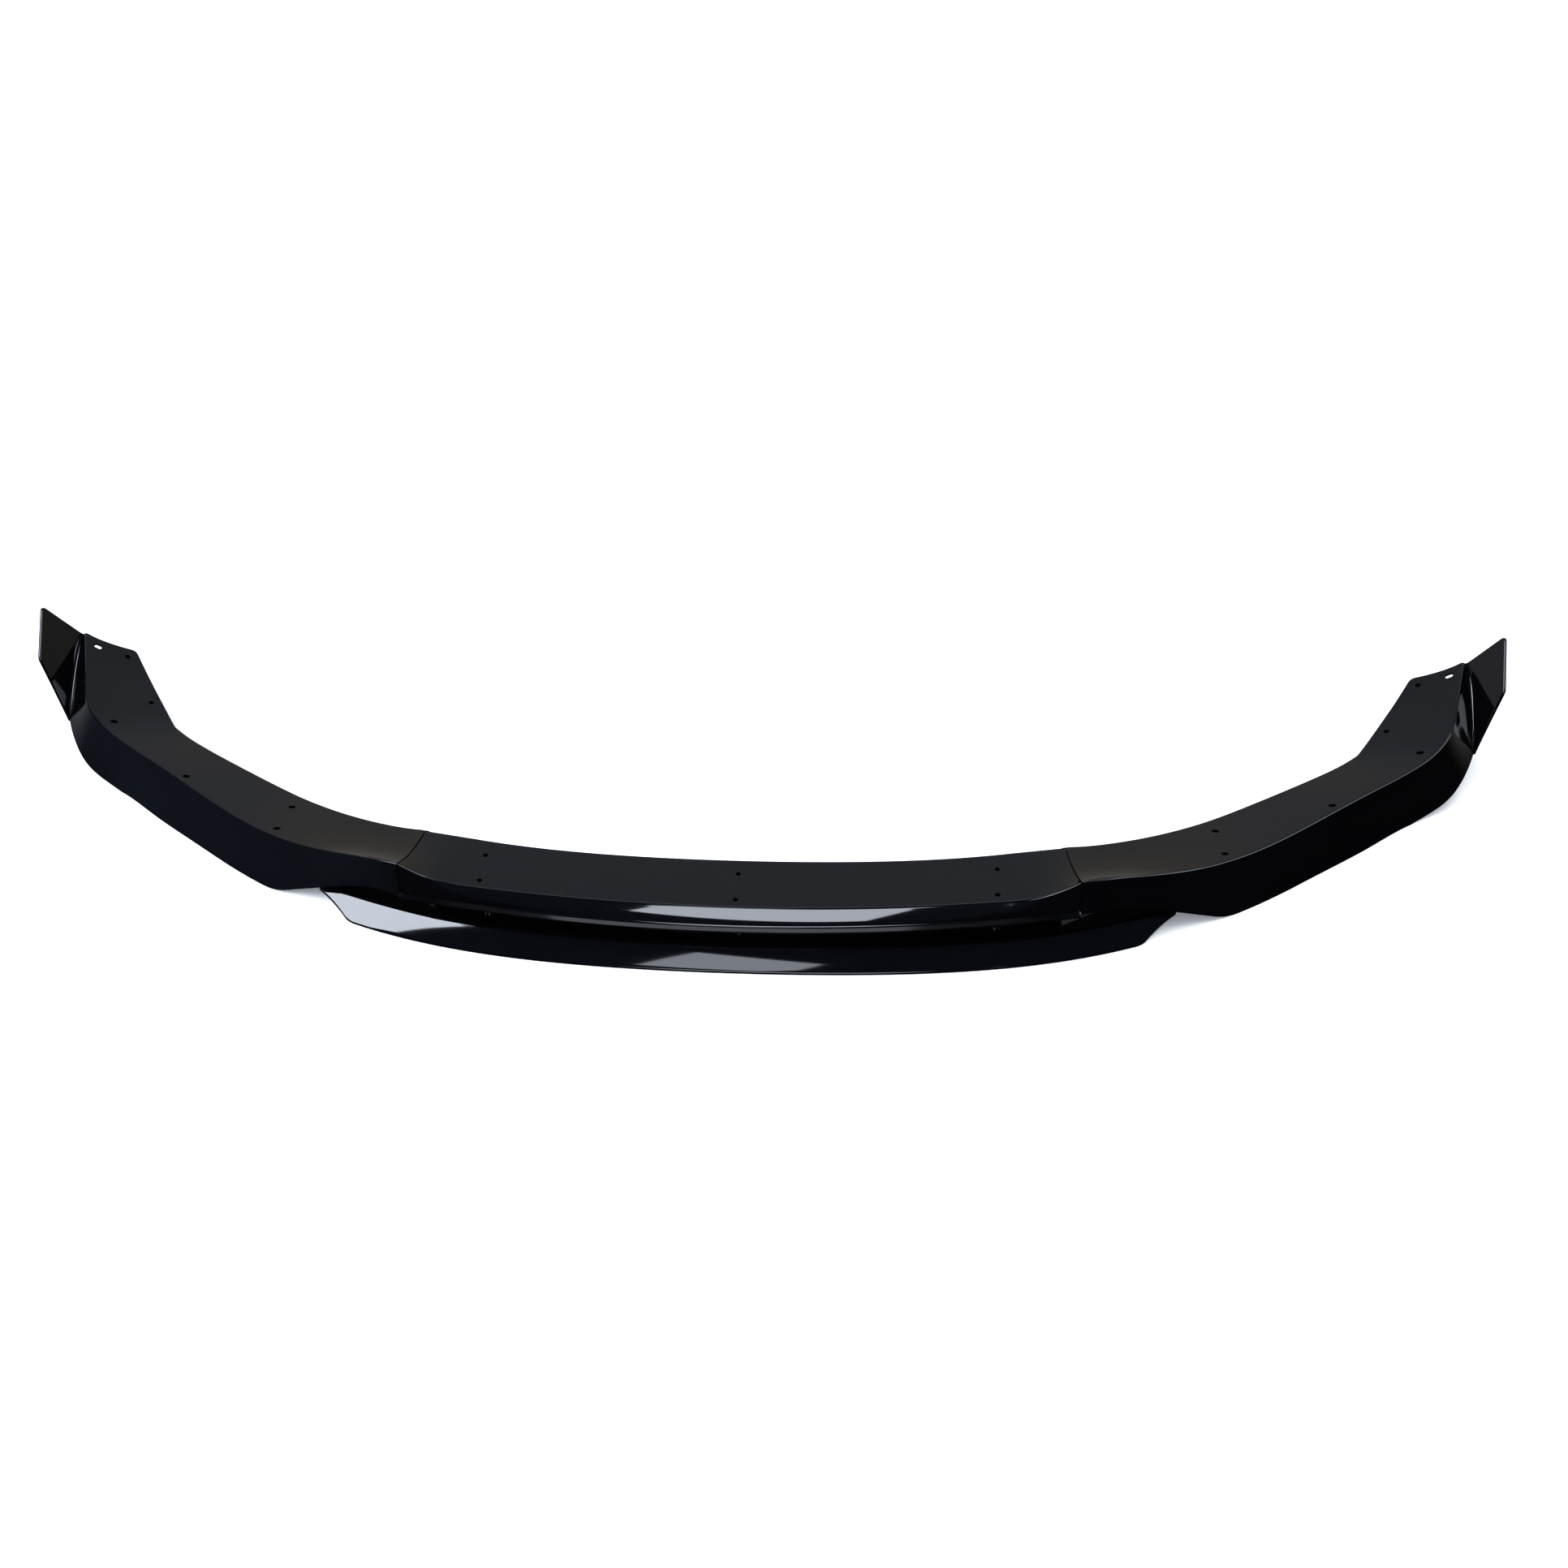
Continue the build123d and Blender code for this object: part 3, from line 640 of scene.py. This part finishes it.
# %% [markdown]
# Screw holes and slots go straight down through the flanges. A boolean modifier cuts them: all the
# cutters of a panel are one mesh, so each panel needs a single cut. The result replaces the panel's
# mesh, and edges that turn by more than 50 degrees are marked sharp, so that hole rims stay crisp.
# Below the flange each hole but the rearmost slot runs on through a short collar, which keeps it dark
# from above. The bosses, turned forms with a fillet at the top, hold the blade below the lip.

# %% Holes and bosses
HOLE_R, SLOT_LONG = 3.0, 9.0
PAIR_PITCH, SIDE_PAIR_X, SIDE_PAIR_Y = 41.6, 292.0, 19.4
# outward from the seam, depth, and height of the wall's middle
WING_ROUND_HOLES = [(390, 333.5, -27.7), (435, 398, -5.2)]
WING_SLOTS = [(166.6, 153.3, -37.2), (172.3, 106, -29.3), (306.4, 195, -29.0),
              (421.5, 284.5, -19.5), (470, 397, 11.8)]
CUT_LOW, CUT_HIGH = -62.0, 60.0
LIP_CUT_LOW, LIP_CUT_HIGH = -12.0, 12.0
HOLE_SIDES = 48
TIE = 1e-6            # turns the two outermost points of a slot to one half each
SHARP_ANGLE = math.radians(50)
BOSS_R, BOSS_FOOT_R, BOSS_FOOT_TALL = 5.5, 7.0, 2.0
PILOT_R, PILOT_DEEP = 2.0, 22.0
BOSS_BEVEL, BOSS_FILLET, FILLET_POINTS, LATHE_SIDES = 0.4, 2.5, 6, 48
COLLAR_R, COLLAR_BORE, COLLAR_TALL, COLLAR_TOP = 5.0, 2.95, 6.0, 0.5

boss_spots = [(-SIDE_PAIR_X, SIDE_PAIR_Y), (0.0, 0.0), (SIDE_PAIR_X, SIDE_PAIR_Y)]


def mesh_of(name, spots, faces):
    mesh = bpy.data.meshes.new(name)
    mesh.from_pydata((np.array(spots) * MM).tolist(), [], faces)
    return mesh


def ring_faces(low, high, count):
    """Quads between two rings of points, given by the number of each ring's first point."""
    following = [(k + 1) % count for k in range(count)]
    return [[low + k, low + j, high + j, high + k] for k, j in enumerate(following)]


def hole_ring(x, y, long, radius, z):
    """Round outline at height z, stretched along X where a slot's length is given."""
    turn = np.arange(HOLE_SIDES) / HOLE_SIDES * 2 * math.pi
    shift = np.sign(np.cos(turn + TIE)) * max(0.0, long / 2 - HOLE_R)
    return np.stack([x + radius * np.cos(turn) + shift, y + radius * np.sin(turn), 0 * turn + z], axis=1)


def hole_cutters(name, spots, low, high):
    """Upright prisms, one for each (x, y, length) in spots."""
    rings, faces = [], []
    n = HOLE_SIDES
    for spot in spots:
        base = len(rings) * n
        rings += [hole_ring(*spot, HOLE_R, z) for z in (low, high)]
        faces += ring_faces(base, base + n, n)
        faces += [[base + k for k in reversed(range(n))], [base + n + k for k in range(n)]]
    return mesh_of(name, np.concatenate(rings), faces)


def collar(name, x, y, long, z):
    """Short collar under a hole or slot whose wall has its middle at height z."""
    profile = ((COLLAR_BORE, COLLAR_TOP), (COLLAR_R, COLLAR_TOP),
               (COLLAR_R, COLLAR_TALL), (COLLAR_BORE, COLLAR_TALL))
    rings = [hole_ring(x, y, long, radius, z - drop) for radius, drop in profile]
    faces = []
    for row in range(len(rings)):
        after = (row + 1) % len(rings)
        faces += ring_faces(row * HOLE_SIDES, after * HOLE_SIDES, HOLE_SIDES)
    return mesh_of(name, np.concatenate(rings), faces)


def cut_holes(mesh, cutters):
    """The mesh with the cutters taken out of it."""
    piece = panel_object("panel_to_cut", mesh)
    tool = panel_object("cutters", cutters)
    cut = piece.modifiers.new("holes", "BOOLEAN")
    cut.object = tool
    cut.operation = "DIFFERENCE"
    cut.solver = "EXACT"
    cut.use_self = True
    bpy.context.view_layer.update()
    graph = bpy.context.evaluated_depsgraph_get()
    done = bpy.data.meshes.new_from_object(piece.evaluated_get(graph))
    bpy.data.objects.remove(piece)
    bpy.data.objects.remove(tool)
    done.shade_smooth()
    done.set_sharp_from_angle(angle=SHARP_ANGLE)
    return done


def lathe(name, profile, x, y):
    """Turned form about an upright axis, from (radius, height) points that start and end on it."""
    n = LATHE_SIDES
    turn = np.arange(n) / n * 2 * math.pi
    rows = profile[1:-1]
    corners = [(x, y, profile[0][1])]
    corners += [(x + r * math.cos(a), y + r * math.sin(a), z) for r, z in rows for a in turn]
    corners.append((x, y, profile[-1][1]))
    last = len(corners) - 1
    faces = [[0, 1 + (k + 1) % n, 1 + k] for k in range(n)]
    for row in range(len(rows) - 1):
        faces += ring_faces(1 + row * n, 1 + (row + 1) * n, n)
    base = 1 + (len(rows) - 1) * n
    faces += [[base + k, base + (k + 1) % n, last] for k in range(n)]
    mesh = mesh_of(name, corners, faces)
    mesh.shade_smooth()
    return mesh


def boss_profile():
    """Screw boss from its pilot hole round the foot and up to a fillet under the flange."""
    foot_top = SHELF + BOSS_FOOT_TALL
    bevel = BOSS_BEVEL
    top = -WALL
    fillet = [(BOSS_R + BOSS_FILLET * (1 - math.cos(a)), top - BOSS_FILLET * (1 - math.sin(a)))
              for a in steps(FILLET_POINTS) * math.pi / 2]
    return [(0, SHELF + PILOT_DEEP), (PILOT_R, SHELF + PILOT_DEEP), (PILOT_R, SHELF + bevel),
            (PILOT_R + bevel, SHELF), (BOSS_FOOT_R - bevel, SHELF), (BOSS_FOOT_R, SHELF + bevel),
            (BOSS_FOOT_R, foot_top - bevel), (BOSS_FOOT_R - bevel, foot_top),
            (BOSS_R + bevel, foot_top), (BOSS_R, foot_top + bevel)] + fillet + [
            (BOSS_R + BOSS_FILLET, top + WALL / 2), (0, top + WALL / 2)]


pair = (-PAIR_PITCH / 2, PAIR_PITCH / 2)
lip_holes = [(x, y + step, 0.0) for x, y in boss_spots for step in pair]
wing_holes = [(SEAM_X + x, y, 0.0) for x, y, z in WING_ROUND_HOLES]
wing_holes += [(SEAM_X + x, y, SLOT_LONG) for x, y, z in WING_SLOTS]
wing_heights = [z for x, y, z in WING_ROUND_HOLES + WING_SLOTS]
lip_mesh = cut_holes(lip_mesh, hole_cutters("lip_cutters", lip_holes, LIP_CUT_LOW, LIP_CUT_HIGH))
side_mesh = cut_holes(side_mesh, hole_cutters("wing_cutters", wing_holes, CUT_LOW, CUT_HIGH))
bosses = [lathe("boss", boss_profile(), x, y) for x, y in boss_spots]
lip_collars = [collar("collar", *hole, -WALL / 2) for hole in lip_holes]
wing_collars = [collar("collar", *hole, z) for hole, z in zip(wing_holes[:-1], wing_heights)]
print("holes cut:", len(lip_holes), "in the centre lip and", len(wing_holes), "in each side lip")

# %% [markdown]
# Below each seam the two panels have upright end walls, bolted face to face. Each wall is the area
# between the underside of the flange and a straight lower edge, three millimetres thick.

# %% End walls
END_WALL, END_WALL_BOTTOM, END_WALL_SINK = 3.0, -20.0, 0.8
WALL_BEVEL = 0.4
WALL_POINTS = 24

seam_way = unit(np.array([-math.tan(SEAM_TOE), 1, 0]))
seam_normal = np.cross(seam_way, (0, 0, 1))


def end_wall(name, way):
    """Wall at the +X seam, on the inner (-1) or the outer (1) side of it."""
    crease, back, toe, sag = lip_stations(np.array([SEAM_X]))
    back = back - seam_way * TRIM
    low, corner, hollow, back = inner_points(crease, back, toe, sag, END_WALL_SINK * WALL)
    share = (END_WALL_BOTTOM - corner[0, 2]) / (low[0, 2] - corner[0, 2])
    curve = bezier(corner, hollow, back, steps(WALL_POINTS))[0]
    foot = corner[0] + (low[0] - corner[0]) * share
    outline = np.concatenate([curve, [(back[0, 0], back[0, 1], END_WALL_BOTTOM)], [foot]])
    n = len(outline)
    spots = np.concatenate([outline, outline + seam_normal * END_WALL * way])
    faces = [list(range(n)), list(range(2 * n - 1, n - 1, -1))]
    faces += [[k, n + k, n + (k + 1) % n, (k + 1) % n] for k in range(n)]
    mesh = mesh_of(name, spots, faces)
    work = bmesh.new()
    work.from_mesh(mesh)
    bmesh.ops.recalc_face_normals(work, faces=work.faces)
    edges = [e for e in work.edges if e.calc_face_angle() > SHARP_ANGLE]
    bmesh.ops.bevel(work, geom=edges, offset=WALL_BEVEL * MM, segments=2, affect="EDGES")
    work.to_mesh(mesh)
    work.free()
    return mesh


def joined(name, meshes):
    """One mesh from several, kept as separate shells."""
    work = bmesh.new()
    for mesh in meshes:
        work.from_mesh(mesh)
    whole = bpy.data.meshes.new(name)
    work.to_mesh(whole)
    work.free()
    return whole


def mirrored(mesh, name):
    """The mesh on the other side of the car's middle plane."""
    copy = mesh.copy()
    copy.name = name
    copy.transform(Matrix.Scale(-1, 4, (1, 0, 0)))
    copy.flip_normals()
    return copy


inner_wall = end_wall("inner_wall", -1)
outer_wall = end_wall("outer_wall", 1)
lip_walls = [inner_wall, mirrored(inner_wall, "inner_wall_right")]
lip_mesh = joined("centre_lip_mesh", [lip_mesh] + bosses + lip_collars + lip_walls)
side_mesh = joined("side_lip_mesh", [side_mesh, outer_wall] + wing_collars)
panels = {
    "centre_lip": lip_mesh,
    "side_lip_left": side_mesh,
    "side_lip_right": mirrored(side_mesh, "side_lip_right_mesh"),
    "lower_blade": blade,
}
pieces = {node: panel_object(node + "_moulding", mesh) for node, mesh in panels.items()}
for node, piece in pieces.items():
    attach(piece, "root")
    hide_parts(node)
    print(piece.name, len(piece.data.polygons), "faces")

# %% [markdown]
# The panels are moulded in ABS and polished to a piano black. Black plastic shows almost nothing of
# its own colour: what the eye sees is the room, mirrored at four percent and softened by a faint
# orange peel from the mould. The fasteners are bright zinc and dull black oxide on steel.

# %% Materials
ORANGE_PEEL_MM = 9.0
ORANGE_PEEL_DEEP_MM = 0.0012
HAZE_MM = 160.0
SPANGLE_MM = 1.5
ABS_IOR = 1.53


def colour(hex_code):
    """Linear colour from an sRGB hex value."""
    parts = [int(hex_code[k:k + 2], 16) / 255 for k in (1, 3, 5)]
    return [c / 12.92 if c <= 0.04045 else ((c + 0.055) / 1.055) ** 2.4 for c in parts] + [1.0]


def node(tree, kind, settings=None, **links):
    """Adds a node with settings; each link gives an input's name and what feeds it."""
    made = tree.nodes.new(kind)
    for name, value in (settings or {}).items():
        if name in made.inputs:
            made.inputs[name].default_value = value
        else:
            setattr(made, name, value)
    for name, source in links.items():
        tree.links.new(source, made.inputs[name.replace("_", " ")])
    return made


def noise(tree, size_mm, detail, place):
    """Cloudy pattern whose patches are about size_mm wide."""
    settings = {"Scale": 1 / (size_mm * MM), "Detail": detail}
    return node(tree, "ShaderNodeTexNoise", settings, Vector=place).outputs["Fac"]


def ramp(tree, source, first, last):
    """Colour that goes from the first hex value to the last one as the source goes from 0 to 1."""
    made = node(tree, "ShaderNodeValToRGB", Fac=source)
    for stop, hex_code in zip(made.color_ramp.elements, (first, last)):
        stop.color = colour(hex_code)
    return made.outputs["Color"]


def new_material(name):
    material = bpy.data.materials.new(name)
    material.use_nodes = True
    return material, material.node_tree, material.node_tree.nodes["Principled BSDF"]


def gloss_black_abs():
    """Moulded and polished ABS: deep black, mirror gloss, faint orange peel and polishing haze."""
    material, tree, shader = new_material("gloss_black_abs")
    place = node(tree, "ShaderNodeTexCoord").outputs["Object"]
    haze = noise(tree, HAZE_MM, 3.0, place)
    rough = node(tree, "ShaderNodeMapRange", {"To Min": 0.03, "To Max": 0.06}, Value=haze)
    tint = ramp(tree, haze, "#020203", "#040405")
    peel = noise(tree, ORANGE_PEEL_MM, 1.0, place)
    bump = node(tree, "ShaderNodeBump", {"Strength": 1.0, "Distance": ORANGE_PEEL_DEEP_MM * MM},
                Height=peel)
    shader.inputs["IOR"].default_value = ABS_IOR
    tree.links.new(rough.outputs["Result"], shader.inputs["Roughness"])
    tree.links.new(tint, shader.inputs["Base Color"])
    tree.links.new(bump.outputs["Normal"], shader.inputs["Normal"])
    return material


def plated_steel(name, dark, light, rough_low, rough_high):
    """Steel with a thin plated or oxidised skin: a fine spangle in tint and gloss."""
    material, tree, shader = new_material(name)
    place = node(tree, "ShaderNodeTexCoord").outputs["Object"]
    spangle = noise(tree, SPANGLE_MM, 4.0, place)
    tint = ramp(tree, spangle, dark, light)
    rough = node(tree, "ShaderNodeMapRange", {"To Min": rough_low, "To Max": rough_high}, Value=spangle)
    shader.inputs["Metallic"].default_value = 1.0
    tree.links.new(tint, shader.inputs["Base Color"])
    tree.links.new(rough.outputs["Result"], shader.inputs["Roughness"])
    return material


abs_black = gloss_black_abs()
zinc = plated_steel("zinc_plated_steel", "#a9adb2", "#d2d5d8", 0.22, 0.38)
oxide = plated_steel("black_oxide_steel", "#17181a", "#2b2c2e", 0.35, 0.5)
for piece in pieces.values():
    piece.data.materials.clear()
    piece.data.materials.append(abs_black)
for name, material in (("seam_bolts", zinc), ("seam_nuts", zinc), ("blade_screws", oxide)):
    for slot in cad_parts[name].material_slots:
        slot.material = material
print("materials:", abs_black.name, zinc.name, oxide.name)

# %% [markdown]
# The studio is a white floor with a white screen round it, under an even, very soft light. A black
# gloss part shows little but mirror images, so floor and screen stay out of its gloss. A few soft
# boxes take their place, and their images lie on the lip, the blade and the side lips. Each box is
# given by the angles it fills, seen from the part. A near-black card behind the lip shows only in the
# gloss and casts no shadow: it is a painted dark reflection, whose image makes the slot above the
# blade black.

# %% Studio
FLOOR_Z = FLOOR * MM - 0.0005
FLOOR_REACH = 14.0
SCREEN_R, SCREEN_TALL, SCREEN_SIDES = 12.0, 6.0, 64
PAPER_GRAIN_MM = 25.0
DAYLIGHT = 2.6              # even light from above
DAYLIGHT_SPREAD = 50.0      # its spread in degrees: the floor under the part stays dark
BOX_DISTANCE = 3.0
BOX_COLOUR = "#dfe6f2"
# name, then in degrees the turn from the front and the lift, then the glow and the roll in degrees
SOFT_BOXES = [
    ("lip_box", (-14, 13.5), (16, 36), 11.0, -17),           # band below the lip's crease
    ("blade_box", (-17.5, 0.5), (46.5, 57), 5.6, -22),       # patch on the blade's slope
    ("end_box", (-84, -56), (20, 54.5), 17.0, 0),            # white end of the blade
    ("patch_box", (23, 25.5), (13, 19), 6.0, 0),             # small patch beside the hump
    ("crease_box", (72, 100), (12, 34), 5.0, 0),             # light along the side lip's crease
    ("ledge_box", (120, 240), (64, 80), 1.6, 0),             # light on the ledge below the lip
]
# size and place of the card that paints a dark reflection into the slot above the blade
FLAG_HALF, FLAG_POINTS = 372.0, 24
FLAG_FRONT, FLAG_BACK, FLAG_Z = -8.0, 100.0, -8.0            # from the lip's back edge


def stage_piece(name, corners, faces, material):
    """Part of the studio, shown to the camera but not to the gloss."""
    mesh = bpy.data.meshes.new(name)
    mesh.from_pydata(corners, [], faces)
    mesh.materials.append(material)
    card = bpy.data.objects.new(name, mesh)
    scene.collection.objects.link(card)
    card.visible_glossy = False
    return card


def strip_faces(count):
    """Quads between two rows of points, listed one row after the other."""
    return [[k, k + 1, count + k + 1, count + k] for k in range(count - 1)]


def span(angles):
    """Length that fills a range of angles at the soft boxes' distance."""
    return 2 * BOX_DISTANCE * math.tan(math.radians(angles[1] - angles[0]) / 2)


def matt(shader):
    shader.inputs["Roughness"].default_value = 1.0
    shader.inputs["Specular IOR Level"].default_value = 0.0


def soft_box(name, turn, lift, glow, roll):
    """Soft box that fills a range of angles seen from the part."""
    side, rise = [math.radians(sum(pair) / 2) for pair in (turn, lift)]
    level = math.cos(rise)
    way = Vector((math.sin(side) * level, -math.cos(side) * level, math.sin(rise)))
    data = bpy.data.lights.new(name, "AREA")
    data.shape = "RECTANGLE"
    data.size = span(turn) * level
    data.size_y = span(lift)
    data.energy = glow * math.pi * data.size * data.size_y
    data.color = colour(BOX_COLOUR)[:3]
    lamp = bpy.data.objects.new(name, data)
    lamp.location = way * BOX_DISTANCE
    aim = (-way).to_track_quat("-Z", "Y") @ Quaternion((0, 0, 1), math.radians(roll))
    lamp.rotation_euler = aim.to_euler()
    scene.collection.objects.link(lamp)


paper, tree, shader = new_material("white_paper")
grain = node(tree, "ShaderNodeTexNoise", {"Scale": 1 / (PAPER_GRAIN_MM * MM)}).outputs["Fac"]
tree.links.new(ramp(tree, grain, "#fbfbfb", "#fefefe"), shader.inputs["Base Color"])
matt(shader)
floor = [(x * FLOOR_REACH, y * FLOOR_REACH, FLOOR_Z) for x, y in ((-1, -1), (1, -1), (1, 1), (-1, 1))]
stage_piece("floor", floor, [[0, 1, 2, 3]], paper)
ring = [(SCREEN_R * math.cos(a), SCREEN_R * math.sin(a)) for a in steps(SCREEN_SIDES + 1, 0, 2 * math.pi)]
screen = [(x, y, z) for z in (FLOOR_Z, SCREEN_TALL) for x, y in ring]
stage_piece("screen", screen, strip_faces(SCREEN_SIDES + 1), paper)

daylight = bpy.data.lights.new("daylight", "SUN")
daylight.energy = DAYLIGHT
daylight.angle = math.radians(DAYLIGHT_SPREAD)
sun = bpy.data.objects.new("daylight", daylight)
scene.collection.objects.link(sun)
sun.visible_glossy = False

for box in SOFT_BOXES:
    soft_box(*box)

# Near-black card seen only in the gloss, with no shadow: a painted dark reflection that makes the slot
# above the blade black.
dark_reflection_material, tree, shader = new_material("painted_dark_reflection_card")
shader.inputs["Base Color"].default_value = colour("#010101")
matt(shader)
along_lip = steps(FLAG_POINTS, -FLAG_HALF, FLAG_HALF)
corners = [(x * MM, (swept(BACK, x) + y) * MM, FLAG_Z * MM)
           for y in (FLAG_FRONT, FLAG_BACK) for x in along_lip]
dark_reflection_card = stage_piece("painted_dark_reflection_card", corners, strip_faces(FLAG_POINTS), dark_reflection_material)
dark_reflection_card.visible_glossy = True
dark_reflection_card.visible_camera = dark_reflection_card.visible_diffuse = dark_reflection_card.visible_shadow = False
print("studio ready: floor, screen, daylight, black flag and", len(SOFT_BOXES), "soft boxes")

# %% [markdown]
# The rest of the surroundings is a dim glow by direction. The flanges mirror the space behind and
# above, a grey that is warm near the horizon and cool higher up. The front faces mirror a much darker
# blue, and on one side a little more of it. Each of the three is a colour whose strength fades with
# the direction's components, and the three are added together.

# %% Surroundings
BACK_GLOW, FRONT_GLOW, LEFT_GLOW = 0.40, 0.075, 0.10
LOW_SHARE = 0.60            # share of the back's glow that is left at the horizon
HIGH_SHARE = 0.3            # share of the left side's glow that is left higher up
WARM, COOL, BLUE = "#fffaf2", "#e2ebfb", "#a9c6f2"
WARM_TO_COOL = (0.25, 0.6)
# components of the direction between which each glow fades in or out
BACK_Y, BACK_Z = (-0.05, 0.4), (0.0, 0.66)
FRONT_Y, FRONT_Z = (0.1, -0.25), (0.0, 0.15)
LEFT_X, LEFT_Z = (-0.62, -0.95), (0.2, 0.4)

world = bpy.data.worlds.new("studio")
scene.world = world
world.use_nodes = True
sky = world.node_tree
way = node(sky, "ShaderNodeTexCoord").outputs["Generated"]
axis = node(sky, "ShaderNodeSeparateXYZ", Vector=way).outputs


def fade(component, limits, low, high):
    """Smooth change from low to high while a component of the direction goes through the limits."""
    settings = {"From Min": limits[0], "From Max": limits[1], "To Min": low, "To Max": high,
                "interpolation_type": "SMOOTHSTEP"}
    return node(sky, "ShaderNodeMapRange", settings, Value=axis[component]).outputs["Result"]


def glow(colour_in, *strengths):
    """Light from part of the surroundings: a colour and two strengths that are multiplied."""
    product = node(sky, "ShaderNodeMath", {"operation": "MULTIPLY"})
    for socket, strength in zip(product.inputs, strengths):
        sky.links.new(strength, socket)
    light = node(sky, "ShaderNodeBackground", Strength=product.outputs["Value"])
    sky.links.new(colour_in, light.inputs["Color"])
    return light.outputs["Background"]


grey = ramp(sky, axis["Z"], WARM, COOL)
for stop, position in zip(grey.node.color_ramp.elements, WARM_TO_COOL):
    stop.position = position
blue = node(sky, "ShaderNodeRGB").outputs["Color"]
blue.default_value = colour(BLUE)
lights = [
    glow(grey, fade("Y", BACK_Y, 0.0, BACK_GLOW), fade("Z", BACK_Z, LOW_SHARE, 1.0)),
    glow(blue, fade("Y", FRONT_Y, 0.0, FRONT_GLOW), fade("Z", FRONT_Z, 0.0, 1.0)),
    glow(blue, fade("X", LEFT_X, 0.0, LEFT_GLOW), fade("Z", LEFT_Z, 1.0, HIGH_SHARE)),
]
total = lights[0]
for light in lights[1:]:
    both = node(sky, "ShaderNodeAddShader")
    sky.links.new(total, both.inputs[0])
    sky.links.new(light, both.inputs[1])
    total = both.outputs["Shader"]
sky.links.new(total, sky.nodes["World Output"].inputs["Surface"])
print("surroundings:", len(lights), "glows")
